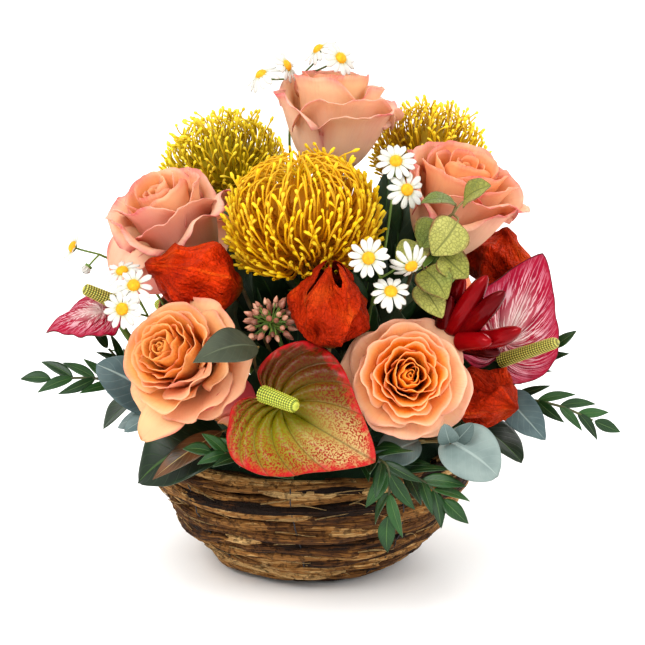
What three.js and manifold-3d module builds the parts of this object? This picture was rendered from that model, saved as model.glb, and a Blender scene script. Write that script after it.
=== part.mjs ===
// A flower basket arrangement: a round basket of wound vines, lined and packed with floral
// foam, that holds a dome of cut roses, pincushions, anthuriums, lanterns and greenery.
// Millimetres, +Z up. The origin is the centre of the flat patch the basket stands on, and
// the arrangement's front faces -Y.
import * as THREE from "three";
import { ParametricGeometry } from "three/addons/geometries/ParametricGeometry.js";
import { mergeVertices } from "three/addons/utils/BufferGeometryUtils.js";
import Module from "manifold-3d";

const wasm = await Module();
wasm.setup();

// Driving dimensions.
const CLEAR = 0.4; // the gap kept where one piece rests in or on another
const BLADE = 1.1; // thickness of petals
const LEAF = 1.0; // thickness of leaves
const BASKET = { foot: 46, belly: 95, height: 78, wall: 8, floor: 8, strands: 7, relief: 3.2, round: 24 };
const LINER = { wall: 1.5, gap: 1.4 };
const FOAM = { focus: 58, across: 70, rise: 52, depth: 20 };
const INSIDE = [BASKET.height - 6, 34]; // heights at which basket, liner and foam are rounded

const vec = (x, y, z) => new THREE.Vector3(x, y, z);
const FOCUS = vec(0, 0, FOAM.focus); // every stem in the foam points at this spot

const finish = (color, roughness = 0.6) =>
  new THREE.MeshStandardMaterial({ color, roughness, metalness: 0 });
const FINISH = {
  vine: finish(0x8a5c30, 0.9),
  liner: finish(0x16181a, 0.5),
  foam: finish(0x2f5a34, 0.95),
  rose: finish(0xf39a5b),
  openRose: finish(0xfb9f3f),
  stem: finish(0x3d5a24),
  pincushion: finish(0xe3b512),
  lantern: finish(0xe8400f, 0.7),
  speckled: finish(0xb88a3a, 0.35),
  pink: finish(0xd23a63, 0.35),
  spadix: finish(0x8fa02a),
  chamomile: finish(0xf2f1ec),
  goldLeaf: finish(0xb9bd52),
  greyLeaf: finish(0x7f9c97),
  chili: finish(0xa30b16, 0.2),
  berry: finish(0x9a5a4a),
  mastic: finish(0x2c4f22),
  salal: finish(0x1d4a1c, 0.4),
  bronzeLeaf: finish(0x5d5a26),
};

const group = new THREE.Group();

// ---------- solids ----------

// The closed solid of a three.js geometry, whichever way its faces were wound.
function solid(geometry) {
  const loose = geometry.index ? geometry.toNonIndexed() : geometry.clone();
  const bare = new THREE.BufferGeometry().setAttribute("position", loose.getAttribute("position"));
  const merged = mergeVertices(bare, 1e-4);
  const corners = [];
  const index = merged.index.array;
  for (let i = 0; i < index.length; i += 3) {
    const [a, b, c] = [index[i], index[i + 1], index[i + 2]];
    if (a !== b && b !== c && c !== a) corners.push([a, b, c]);
  }
  const made = (turned) =>
    new wasm.Manifold(
      new wasm.Mesh({
        numProp: 3,
        vertProperties: merged.attributes.position.array,
        triVerts: new Uint32Array(corners.flatMap(([a, b, c]) => (turned ? [a, c, b] : [a, b, c]))),
      }),
    );
  const first = made(false);
  return first.volume() > 0 ? first : made(true);
}

// Joins solids into one, and keeps the largest body if a scrap comes loose.
function fuse(solids) {
  const bodies = wasm.Manifold.union(solids).decompose();
  return bodies.reduce((big, body) => (body.volume() > big.volume() ? body : big));
}

// Puts a solid into the scene as a named mesh.
function add(name, made, material, parent = group) {
  const { vertProperties, triVerts } = made.getMesh();
  const geometry = new THREE.BufferGeometry()
    .setAttribute("position", new THREE.BufferAttribute(vertProperties, 3))
    .setIndex(new THREE.BufferAttribute(triVerts, 1));
  geometry.computeVertexNormals();
  const mesh = new THREE.Mesh(geometry, material);
  mesh.name = name;
  parent.add(mesh);
  return mesh;
}

const moved = (made, matrix) => made.transform(matrix.elements);

// A round rod through points, with a radius at each; its ends close on the path.
function rod(points, radii, sides = 3) {
  const last = points.length - 1;
  let side = null;
  const frames = points.map((point, k) => {
    const ahead = points[Math.min(k + 1, last)];
    const along = ahead.clone().sub(points[Math.max(k - 1, 0)]).normalize();
    side ??= Math.abs(along.z) < 0.9 ? vec(0, 0, 1) : vec(1, 0, 0);
    side = side.clone().addScaledVector(along, -side.dot(along)).normalize();
    return { side, across: vec(0, 0, 0).crossVectors(along, side) };
  });
  const rows = points.length + 2;
  const surface = (s, t, target) => {
    const row = Math.round(t * (rows - 1)) - 1;
    const k = Math.min(Math.max(row, 0), last);
    const radius = row === k ? radii[k] : 0;
    const angle = 2 * Math.PI * s;
    target.copy(points[k]);
    target.addScaledVector(frames[k].side, radius * Math.cos(angle));
    target.addScaledVector(frames[k].across, radius * Math.sin(angle));
  };
  return solid(new ParametricGeometry(surface, sides, rows - 1));
}

// A thin blade: surface(u, v) is its middle, with u from -1 to 1 across it and v from root to
// tip. Its faces meet along its edges and ends, or its root is blunt where blunt is true.
// front and back are the facets across.
function blade(surface, rows, thickness, { front = 2, back = front, blunt = false } = {}) {
  const loop = [];
  for (let i = 0; i < front; i++) loop.push({ u: -1 + (2 * i) / front, side: i ? 1 : 0 });
  for (let i = 0; i < back; i++) loop.push({ u: 1 - (2 * i) / back, side: i ? -1 : 0 });
  const step = 0.02;
  const normal = (u, v) => {
    const across = surface(u + step, v).sub(surface(u - step, v));
    const along = surface(u, v + step).sub(surface(u, v - step));
    return across.cross(along).normalize();
  };
  const places = blunt ? [null, ...rows] : rows;
  const skin = (s, t, target) => {
    const { u, side } = loop[Math.round(s * loop.length) % loop.length];
    const v = places[Math.round(t * (places.length - 1))];
    target.copy(v === null ? surface(0, 0) : surface(u, v));
    const thick = v !== null && v < 1 && (v > 0 || blunt);
    if (side && thick) target.addScaledVector(normal(u, v), (side * thickness) / 2);
  };
  return solid(new ParametricGeometry(skin, loop.length, places.length - 1));
}

// Width of an outline at v: 0 at both ends, with its widest place nearer the tip as skew grows,
// and blunter ends as round shrinks.
function oval(v, skew, round) {
  const share = Math.pow(THREE.MathUtils.clamp(v, 0, 1), skew);
  return Math.pow(Math.max(Math.sin(Math.PI * share), 0), round);
}

// A group whose +Z looks along facing, turned by roll about it.
function stand(at, facing, roll = 0) {
  const holder = new THREE.Group();
  holder.position.set(...at);
  const tilt = new THREE.Quaternion().setFromUnitVectors(vec(0, 0, 1), vec(...facing).normalize());
  const turn = new THREE.Quaternion().setFromAxisAngle(vec(0, 0, 1), roll);
  holder.quaternion.copy(tilt).multiply(turn);
  holder.updateMatrix();
  group.add(holder);
  return holder;
}

// ---------- stems in the foam ----------

const holes = []; // what is cut out of the foam for the stems

// Where a stem enters the foam on its way from a place, and how deep it goes.
function rooting(way) {
  const along = way.clone().sub(FOCUS).normalize();
  const flat = Math.hypot(along.x, along.y) / FOAM.across;
  const reach = 1 / Math.hypot(flat, along.z / FOAM.rise);
  return {
    along,
    mouth: FOCUS.clone().addScaledVector(along, reach + 2),
    end: FOCUS.clone().addScaledVector(along, reach - FOAM.depth),
  };
}

// A stem from the foam to a place, which it reaches along heading, and its hole in the foam.
function stem(to, heading, radius) {
  const sides = 4;
  const { along, mouth, end } = rooting(to.clone().addScaledVector(heading, -18));
  const bend = 0.35 * mouth.distanceTo(to);
  const curve = new THREE.CubicBezierCurve3(
    mouth,
    mouth.clone().addScaledVector(along, bend),
    to.clone().addScaledVector(heading, -bend),
    to,
  );
  bore(end, mouth, radius, sides);
  const points = [end, ...curve.getPoints(3)];
  return rod(points, points.map(() => radius), sides);
}

// The hole for a stem: as wide as the stem and the gap round it, and open at the foam's top.
function bore(end, mouth, radius, sides) {
  const along = mouth.clone().sub(end).normalize();
  const width = radius + CLEAR / Math.cos(Math.PI / sides);
  const bottom = end.clone().addScaledVector(along, -CLEAR);
  const top = mouth.clone().addScaledVector(along, 0.6 * FOAM.depth);
  holes.push(rod([bottom, top], [width, width], sides));
}

// ---------- basket, liner and foam ----------

// Outer radius of the basket at a height, without the strands' relief.
const bowl = (z) =>
  BASKET.foot + (BASKET.belly - BASKET.foot) * (1 - Math.pow(1 - z / BASKET.height, 2.2));

// One shell: its outside is raised into wound vine strands that rise and fall round the bowl.
function basket() {
  const { foot, height, wall, floor, strands, relief, round } = BASKET;
  const rows = [[0, 0, 0], [foot - 6, 0, 0]];
  for (let k = 0; k <= 2 * strands; k++) {
    const z = 3 + ((height - 3) * k) / (2 * strands);
    rows.push([bowl(z) + (k % 2 ? relief : 0), z, k % 2 ? 1 : 0.6]);
  }
  rows.push([bowl(height) - wall / 2, height + 2, 0.5]);
  for (const z of INSIDE) rows.push([bowl(z) - wall, z, 0]);
  rows.push([bowl(floor) - wall - 4, floor, 0], [0, floor, 0]);
  const skin = (s, t, target) => {
    const [radius, z, loose] = rows[Math.round(t * (rows.length - 1))];
    const turn = 2 * Math.PI * s;
    const lean = Math.sin(3 * turn + z / 11) + 0.6 * Math.sin(7 * turn - z / 7);
    const r = radius + loose * 1.1 * Math.sin(5 * turn + z / 5);
    target.set(r * Math.cos(turn), r * Math.sin(turn), z + loose * 1.3 * lean);
  };
  return solid(new ParametricGeometry(skin, round, rows.length - 1));
}

// A lathe whose profile gives [radius, height] pairs from axis to axis.
function lathe(profile, sides) {
  const points = profile.map(([radius, z]) => new THREE.Vector2(radius, z));
  return solid(new THREE.LatheGeometry(points, sides).rotateX(Math.PI / 2));
}

function liner() {
  const { wall, floor } = BASKET;
  const outside = [[0, floor + CLEAR], [bowl(floor) - wall - 6, floor + CLEAR]];
  for (const z of INSIDE.toReversed()) outside.push([bowl(z) - wall - LINER.gap, z]);
  const inside = outside.slice(1).reverse().map(([r, z]) => [r - LINER.wall, z]);
  inside[inside.length - 1][1] += LINER.wall;
  inside.push([0, floor + CLEAR + LINER.wall]);
  return lathe([...outside, ...inside], 13);
}

function foam() {
  const { wall, floor } = BASKET;
  const inset = wall + LINER.gap + LINER.wall + 2;
  const base = floor + LINER.wall + 2 * CLEAR;
  const profile = [[0, base], [bowl(floor) - inset - 7, base]];
  for (const z of INSIDE.toReversed()) profile.push([bowl(z) - inset, z]);
  for (const angle of [0.5, 1.05])
    profile.push([FOAM.across * Math.cos(angle), FOAM.focus + FOAM.rise * Math.sin(angle)]);
  profile.push([0, FOAM.focus + FOAM.rise]);
  return lathe(profile, 13).subtract(wasm.Manifold.union(holes));
}

// ---------- roses ----------

// One petal: a cupped profile carried round part of the bloom, narrow at its foot and round at
// its top. lip is how far its top stands out, against its reach.
function petal({ reach, height, turn, wrap, lip, rows, across }) {
  const profile = new THREE.CubicBezierCurve(
    new THREE.Vector2(0.08 * reach, 0.5),
    new THREE.Vector2(1.0 * reach, 0.02 * height),
    new THREE.Vector2((0.75 + 0.25 * lip) * reach, 0.6 * height),
    new THREE.Vector2(lip * reach, height),
  );
  const surface = (u, v) => {
    const up = Math.min(Math.max(v * (1 - 0.12 * u * u * v), 0), 1);
    const point = profile.getPoint(up);
    const wide = 0.25 + 0.75 * THREE.MathUtils.smoothstep(v, 0, 0.6) - 0.25 * v * v * v;
    const angle = turn + wrap * u * wide;
    const radius = point.x + reach * 0.06 * u * v;
    return vec(radius * Math.cos(angle), radius * Math.sin(angle), point.y);
  };
  return blade(surface, rows, BLADE, { front: across });
}

// A bloom in rings of petals round a bud: each ring is [petals, reach, height, lip, wrap], with
// reach and height as shares of the bloom's.
function roseBloom({ across, tall, rings }) {
  const radius = across / 2;
  const petals = rings.flatMap(([count, reach, height, lip, wrap], ring) =>
    Array.from({ length: count }, (_, i) =>
      petal({
        reach: reach * radius,
        height: height * tall,
        turn: (2 * Math.PI * i) / count + 1.1 * ring,
        wrap,
        lip,
        rows: ring < 2 ? [0, 0.55, 1] : [0, 0.38, 0.75, 1],
        across: ring ? 3 : 2,
      }),
    ),
  );
  const inner = rings[0][1] * radius;
  const bud = [[0, 0], [5, 0], [0.6 * inner, 0.35 * tall], [0, 0.78 * tall]];
  return fuse([lathe(bud, 5), ...petals]);
}

// Tall blooms that are only half open, and wide ones that are fully open.
const HALF_OPEN = [[2, 0.36, 1, 0.7, 1.5], [3, 0.62, 0.97, 0.95, 1.15], [4, 0.84, 0.86, 1.18, 0.95]];
const OPEN = [[2, 0.28, 0.86, 0.8, 1.5], [3, 0.56, 0.88, 1, 1.2], [5, 0.88, 0.8, 1.16, 0.85]];

// The green under a bloom: its hip with five pointed sepals, and the stem down into the foam.
function calyx(holder, radius) {
  const rings = [[0, -CLEAR], [4.6, -CLEAR], [16, -9], [3.4, -9], [0, -12]];
  const skin = (s, t, target) => {
    const [ring, z] = rings[Math.round(t * 4)];
    const step = Math.round(10 * s) % 10;
    const notch = ring > 10 && step % 2 === 0;
    const reach = notch ? 5.4 : ring;
    const turn = (Math.PI * step) / 5;
    target.set(reach * Math.cos(turn), reach * Math.sin(turn), notch ? -4 : z);
  };
  const star = solid(new ParametricGeometry(skin, 10, 4));
  const heading = vec(0, 0, 1).applyQuaternion(holder.quaternion);
  const neck = vec(0, 0, -9).applyMatrix4(holder.matrix);
  return fuse([moved(star, holder.matrix), stem(neck, heading, radius)]);
}

const ROSES = {
  rose_top: { at: [11, 18, 237], facing: [0.06, 0.04, 1], across: 74, tall: 58, rings: HALF_OPEN },
  rose_left: { at: [-68, -6, 179], facing: [-0.38, -0.3, 0.88], across: 66, tall: 66, rings: HALF_OPEN },
  rose_right: { at: [74, -12, 194], facing: [0.28, -0.24, 0.92], across: 72, tall: 62, rings: HALF_OPEN },
  rose_low_left: { at: [-62, -82, 141], facing: [-0.46, -0.74, 0.5], across: 70, tall: 46, rings: OPEN },
  rose_front: { at: [51, -86, 136], facing: [0.08, -0.92, 0.36], across: 68, tall: 38, rings: OPEN },
  rose_back_left: { at: [-40, 78, 172], facing: [-0.3, 0.72, 0.62], across: 68, tall: 46, rings: OPEN },
  rose_back_right: { at: [62, 76, 138], facing: [0.5, 0.76, 0.42], across: 68, tall: 46, rings: OPEN },
};

function roses() {
  for (const [name, rose] of Object.entries(ROSES)) {
    const holder = stand(rose.at, rose.facing, 0.3);
    const material = rose.rings === OPEN ? FINISH.openRose : FINISH.rose;
    add(name, roseBloom(rose), material, holder);
    add(name + "_stem", calyx(holder, 2.8), FINISH.stem);
  }
}

// ---------- pincushions ----------

// A flattened globe of styles: each springs from a smaller core, sweeps out and up, and its
// tip leans back in over the top.
function pincushionHead({ across, tall, styles }) {
  const radius = across / 2;
  const half = tall / 2;
  const middle = 0.95 * half;
  const onGlobe = (polar, turn, wide, high) => {
    const out = wide * Math.sin(polar);
    return vec(out * Math.cos(turn), out * Math.sin(turn), middle + high * Math.cos(polar));
  };
  const core = new THREE.SphereGeometry(1, 8, 5).rotateX(Math.PI / 2)
    .scale(0.76 * radius, 0.76 * radius, 0.8 * half).translate(0, 0, middle);
  const pins = Array.from({ length: styles }, (_, i) => {
    const polar = Math.acos(1 - (1.45 * (i + 0.5)) / styles);
    const turn = i * 2.39996;
    const root = onGlobe(Math.min(polar + 0.35, 2.6), turn, 0.6 * radius, 0.62 * half);
    const elbow = onGlobe(polar + 0.3, turn, 1.14 * radius, 1.08 * half);
    const tip = onGlobe(polar, turn, radius, 1.05 * half);
    const curve = new THREE.QuadraticBezierCurve3(root, elbow, tip);
    return rod([0, 0.62, 1].map((t) => curve.getPoint(t)), [0.8, 1.3, 0]);
  });
  const foot = lathe([[0, 0], [5, 0], [0, 0.8 * half]], 5);
  return fuse([solid(core), foot, ...pins]);
}

const PINCUSHIONS = {
  pincushion_front: { at: [-2, -48, 180], facing: [-0.06, -0.1, 1], across: 92, tall: 84, styles: 34 },
  pincushion_left: { at: [-46, 40, 206], facing: [-0.28, 0.16, 0.95], across: 78, tall: 64, styles: 20 },
  pincushion_right: { at: [66, 42, 212], facing: [0.2, 0.22, 0.95], across: 74, tall: 64, styles: 20 },
};

function pincushions() {
  for (const [name, head] of Object.entries(PINCUSHIONS)) {
    const holder = stand(head.at, head.facing);
    add(name, pincushionHead(head), FINISH.pincushion, holder);
    const heading = vec(0, 0, 1).applyQuaternion(holder.quaternion);
    add(name + "_stem", stem(vec(0, 0, -CLEAR).applyMatrix4(holder.matrix), heading, 3.6), FINISH.stem);
  }
}

// ---------- lanterns ----------

// A papery lantern with five ribs, blown up round its middle and drawn to a point.
function lanternHusk({ long, across }) {
  const rows = [0, 0.1, 0.32, 0.62, 0.88, 1];
  const skin = (s, t, target) => {
    const v = rows[Math.round(t * (rows.length - 1))];
    const turn = 2 * Math.PI * s;
    const radius = (across / 2) * oval(v, 0.82, 0.85) * (1 + 0.1 * Math.cos(5 * turn));
    target.set(radius * Math.cos(turn), radius * Math.sin(turn), long * v);
  };
  return solid(new ParametricGeometry(skin, 10, rows.length - 1));
}

// Each stands at the end where its stalk joins it and points along facing, and its stalk passes
// through from on its way up.
const LANTERNS = {
  lantern_left: {
    from: [-18, -36, 124], at: [-39, -58, 182], facing: [-0.9, -0.19, 0.29], long: 58, across: 44,
  },
  lantern_middle: {
    from: [8, -70, 128], at: [10, -97, 158], facing: [0.02, -0.1, 1], long: 50, across: 44,
  },
  lantern_right: {
    from: [84, 4, 120], at: [109, 4, 162], facing: [0.16, 0.05, 0.95], long: 44, across: 42,
  },
  lantern_low_right: {
    from: [66, -44, 104], at: [84, -56, 122], facing: [0.62, -0.66, -0.02], long: 46, across: 38,
  },
  lantern_back: {
    from: [4, 60, 108], at: [8, 92, 118], facing: [0.1, 0.9, 0.2], long: 48, across: 42,
  },
};

function lanterns() {
  for (const [name, husk] of Object.entries(LANTERNS)) {
    const holder = stand(husk.at, husk.facing, 0.3);
    const inside = vec(0, 0, 3).applyMatrix4(holder.matrix);
    const stalk = twig([husk.from, husk.at, inside.toArray()], 1.6, 1.3);
    add(name, fuse([moved(lanternHusk(husk), holder.matrix), stalk]), FINISH.lantern);
  }
}

// ---------- twigs, leaves and sprays ----------

// The way of a main twig from the mouth of its hole in the foam through a few places.
function twigCurve(way) {
  const places = way.map((p) => vec(...p));
  return new THREE.CatmullRomCurve3([rooting(places[0]).mouth, ...places]);
}

// A main twig, as a rod that thins towards its end, and its hole.
function twig(way, thick, thin = thick * 0.6) {
  const { mouth, end } = rooting(vec(...way[0]));
  bore(end, mouth, thick, 3);
  const steps = way.length + 2;
  const points = [end, ...twigCurve(way).getPoints(steps)];
  return rod(points, points.map((_, k) => thick + ((thin - thick) * k) / steps));
}

// A leaf on its stalk: from its joint on a twig to its root and on to its tip, with a face that
// looks up. It arches along its length, and its two halves rise from the midrib.
function leaf({ joint, from, to, up, width }) {
  const arch = 0.12;
  const fold = 0.15;
  const stalk = 0.8; // half-width
  const petiole = from.distanceTo(joint);
  const span = to.clone().sub(from);
  const long = span.length();
  const along = span.normalize();
  const side = along.clone().cross(up).normalize();
  const face = side.clone().cross(along);
  const neck = petiole / (petiole + long);
  const surface = (u, v) => {
    if (v <= neck) return joint.clone().lerp(from, v / neck).addScaledVector(side, stalk * u);
    const w = (v - neck) / (1 - neck);
    const half = Math.max((width / 2) * oval(w, 0.85, 0.62), stalk * (1 - w));
    const lift = arch * long * 4 * w * (1 - w) + fold * Math.abs(u) * half;
    return from.clone().addScaledVector(along, long * w)
      .addScaledVector(side, u * half).addScaledVector(face, lift);
  };
  const shares = width > 22 ? [0, 0.25, 0.7, 1] : [0, 0.45, 1];
  const rows = shares.map((w) => neck + (1 - neck) * w);
  return blade(surface, [0, ...rows], LEAF, { blunt: true });
}

const nearest = (places, point) =>
  places.reduce((best, p) => (p.distanceTo(point) < best.distanceTo(point) ? p : best));

// A leafy stem: a twig with single leaves, each joined to the nearest place on it.
function leafySpray({ way, leaves }) {
  const places = twigCurve(way).getPoints(20);
  const blades = leaves.map(([from, to, up, width]) => {
    const root = vec(...from);
    return leaf({ joint: nearest(places, root), from: root, to: vec(...to), up: vec(...up), width });
  });
  return fuse([twig(way, 1.5), ...blades]);
}

// A frond: a twig that carries one thin blade, cut to its rib between the pairs of leaflets.
function frond({ way, pairs, long, width }) {
  const first = 0.3; // where on the rib the leaflets start
  const rib = new THREE.CatmullRomCurve3(way.map((p) => vec(...p)));
  const length = rib.getLength() * (1 - first);
  const rows = [[0, 0, 0]]; // [place on the rib, half-width, how far the edge sweeps forward]
  for (let i = 0; i < pairs; i++) {
    const reach = long * (1 - (0.25 * i) / pairs);
    const place = i / pairs;
    rows.push([place + 0.05 / pairs, 0.9, 0]);
    rows.push([place + 0.35 / pairs, 0.42 * reach + width / 4, 0.5 * reach - width / 4]);
    rows.push([place + 0.6 / pairs, 0.68 * reach, 0.72 * reach]);
  }
  rows.push([1, 0.9, 0], [1 + (0.4 * long) / length, width / 2, 0], [1 + (0.8 * long) / length, 0, 0]);
  const surface = (u, row) => {
    const [place, half, sweep] = rows[row];
    const t = Math.min(first + (1 - first) * place, 1);
    const along = rib.getTangent(t);
    const side = along.clone().cross(vec(0, 0, 1)).normalize();
    const beyond = Math.max(place - 1, 0) * length + Math.abs(u) * sweep;
    const lift = 0.12 * Math.abs(u) * half;
    return rib.getPoint(t).addScaledVector(along, beyond).addScaledVector(side, u * half)
      .addScaledVector(side.clone().cross(along), lift);
  };
  const foot = [0, 0.5 * first, first + 0.02].map((t) => rib.getPoint(t).toArray());
  return fuse([twig(foot, 1.3, 1), toothed(surface, rows.length)]);
}

// A blade given row by row, thick along its rib, sharp at its edges and pointed at both ends.
function toothed(surface, count) {
  const skin = (s, t, target) => {
    const corner = Math.round(4 * s) % 4;
    const row = Math.round(t * (count - 1));
    target.copy(surface([-1, 0, 1, 0][corner], row));
    if (corner % 2 && row > 0 && row < count - 1) {
      const across = surface(1, row).sub(surface(-1, row));
      const along = surface(0, row + 1).sub(surface(0, row - 1));
      target.addScaledVector(across.cross(along).normalize(), (corner === 1 ? 0.5 : -0.5) * LEAF);
    }
  };
  return solid(new ParametricGeometry(skin, 4, count - 1));
}

// ---------- anthuriums ----------

// A heart-shaped spathe whose notch holds the stem, which stands at the origin: +Y runs to the
// tip, and foot is how far the bottom of the notch lies from the stem's middle.
const NOTCH = 5.6;
function spathe({ tip, slender = 1, cup = 0.12, foot = NOTCH }) {
  const outline = (turn) => {
    const off = Math.abs(turn);
    const heart = 0.6 + 0.4 * Math.exp(-Math.pow(off / 0.38, 2));
    const shoulder = 1 - 0.28 * THREE.MathUtils.smoothstep(off, 1.6, 2.7);
    const notch = 1 - 0.8 * Math.exp(-Math.pow((Math.PI - off) / 0.28, 2));
    return tip * heart * shoulder * notch;
  };
  const rings = [[0, 1], [0.6, 1], [1, 0], [0.6, -1], [0, -1]];
  const skin = (s, t, target) => {
    const [share, side] = rings[Math.round(t * 4)];
    const turn = Math.PI * (2 * s - 1);
    const reach = share * outline(turn);
    const fall = (-cup * reach * reach) / tip + 0.06 * tip * share;
    const middle = foot + outline(Math.PI);
    target.set(slender * reach * Math.sin(turn), middle + reach * Math.cos(turn), fall + side * 0.6);
  };
  return solid(new ParametricGeometry(skin, 16, 4));
}

// Each stands at the foot of its spadix; tipward is where the point of its spathe lies.
const ANTHURIUMS = {
  anthurium_front: {
    at: [-25, -115, 135], facing: [-0.12, -0.84, 0.52], tipward: [0.86, -0.2, -0.5], tip: 60, slender: 1.1,
    cup: 0.08, spadix: [0.68, -0.72, -0.05], long: 27, thick: 4.6, finish: FINISH.speckled,
  },
  anthurium_right: {
    at: [107, -46, 138], facing: [0.3, -0.94, 0.05], tipward: [0.42, 0.1, 0.88], tip: 56, slender: 1,
    spadix: [0.78, -0.5, 0.42], long: 45, thick: 3.4, finish: FINISH.pink,
  },
  anthurium_left: {
    at: [-112, -50, 168], facing: [-0.1, -0.42, 0.9], tipward: [-1, -0.1, -0.05], tip: 34, cup: 0.35,
    foot: 4.9, spadix: [-0.8, -0.3, 0.45], long: 20, thick: 4, finish: FINISH.pink,
  },
  anthurium_back: {
    at: [-80, 58, 130], facing: [-0.74, 0.62, 0.26], tipward: [-0.2, 0.15, 0.95], tip: 48,
    spadix: [-0.6, 0.7, 0.4], long: 26, thick: 4, finish: FINISH.speckled,
  },
};

// A group whose +Z looks along facing and whose +Y leans towards tipward.
function lay(at, facing, tipward) {
  const holder = new THREE.Group();
  const z = vec(...facing).normalize();
  const x = vec(...tipward).cross(z).normalize();
  const y = z.clone().cross(x);
  holder.position.set(...at);
  holder.quaternion.setFromRotationMatrix(new THREE.Matrix4().makeBasis(x, y, z));
  holder.updateMatrix();
  group.add(holder);
  return holder;
}

function anthuriums() {
  for (const [name, flower] of Object.entries(ANTHURIUMS)) {
    const holder = lay(flower.at, flower.facing, flower.tipward);
    add(name, spathe(flower), flower.finish, holder);
    const { long, thick } = flower;
    const neck = 2.3;
    const foot = vec(...flower.at);
    const out = vec(0, 0, 1).applyQuaternion(holder.quaternion);
    const base = foot.clone().addScaledVector(out, 6);
    const lean = vec(...flower.spadix).normalize();
    const along = [0.2, 0.85, 1].map((t) => base.clone().addScaledVector(lean, long * t));
    const spadix = rod([base, ...along], [neck - 0.3, thick, thick * 0.75, 0], 6);
    add(name + "_spadix", fuse([spadix, stem(base, out, neck)]), FINISH.spadix);
  }
}

// ---------- chamomile ----------

// A small daisy, cut from one round blade: a domed disc and rays whose notches reach it.
function daisy(rays, droop) {
  const ray = 8.2;
  const disc = 3.6;
  const angles = 3 * rays; // each ray has a notch and two corners
  const rings = [[0, 2.6], [1, 1.4], [2, 0], [0, -1]];
  const skin = (s, t, target) => {
    const [ring, height] = rings[Math.round(t * 3)];
    const step = Math.round(s * angles) % angles;
    const notch = step % 3 === 0;
    const turn = (2 * Math.PI * (step + (notch ? 0 : 0.35 * (1.5 - (step % 3))))) / angles;
    const radius = ring * (ring < 2 ? disc : notch ? disc * 0.56 : (disc + ray) / 2);
    const fall = ring === 2 && !notch ? droop * ray : 0;
    target.set(radius * Math.cos(turn), radius * Math.sin(turn), height - fall);
  };
  return solid(new ParametricGeometry(skin, angles, 3));
}

// A spray of daisies: each head is [place, facing, rays, droop], or [place, facing, 0] for a bud.
function daisySpray({ way, heads }) {
  const places = twigCurve(way).getPoints(20);
  const flowers = heads.flatMap(([at, facing, rays, droop]) => {
    const holder = stand(at, facing);
    const head = rays ? daisy(rays, droop) : lathe([[0, -3], [2.6, 0], [0, 4]], 5);
    const heading = vec(...facing).normalize();
    const neck = vec(1.8, 0.6, 0.5).applyMatrix4(holder.matrix);
    const joint = nearest(places, vec(...at).addScaledVector(heading, -7));
    return [moved(head, holder.matrix), rod([joint, neck], [0.8, 0.8])];
  });
  return fuse([twig(way, 1.3), ...flowers]);
}

const CHAMOMILE = {
  chamomile_middle: [
    {
      way: [[28, -56, 138], [34, -84, 182], [38, -96, 197]],
      heads: [
        [[31, -110, 211], [-0.05, -1, 0.15], 7, 0.05],
        [[43, -112, 193], [0.05, -0.7, 0.7], 6, 0.35],
        [[54, -106, 206], [0.3, -0.8, -0.5], 5, 0.7],
      ],
    },
    {
      way: [[28, -56, 138], [40, -56, 196], [46, -56, 238]],
      heads: [
        [[47, -64, 256], [-0.05, -0.8, 0.6], 7, 0.1],
        [[53, -70, 241], [0.25, -0.9, 0.35], 6, 0.3],
      ],
    },
  ],
  chamomile_top: [
    {
      way: [[-8, 50, 150], [-12, 62, 215], [-14, 63, 255], [-8, 50, 288]],
      heads: [
        [[-30, 22, 294], [-0.5, -0.3, 0.8], 5, 0.5],
        [[-15, 24, 299], [0.75, -0.3, 0.4], 5, 0.2],
        [[4, 30, 308], [-0.6, -0.2, 0.75], 5, 0.4],
        [[17, 18, 304], [0.5, -0.7, 0.5], 5, 0.2],
      ],
    },
  ],
  chamomile_left: [
    {
      way: [[-60, -34, 122], [-84, -58, 158], [-92, -66, 168]],
      heads: [
        [[-104, -90, 178], [-0.15, -0.95, 0.3], 7, 0.1],
        [[-98, -84, 190], [0.1, -0.75, 0.6], 6, 0.2],
        [[-106, -66, 194], [-0.2, -0.5, 0.85], 6, 0.3],
      ],
    },
    {
      way: [[-60, -34, 122], [-98, -8, 176], [-124, -20, 194]],
      heads: [
        [[-138, -28, 200], [-0.8, -0.3, 0.4], 5, -0.3],
        [[-130, -27, 188], [-0.5, -0.4, -0.6], 0],
      ],
    },
  ],
};

function chamomiles() {
  for (const [name, forks] of Object.entries(CHAMOMILE))
    add(name, fuse(forks.map(daisySpray)), FINISH.chamomile);
}

// ---------- eucalyptus, salal and mastic ----------

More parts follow.
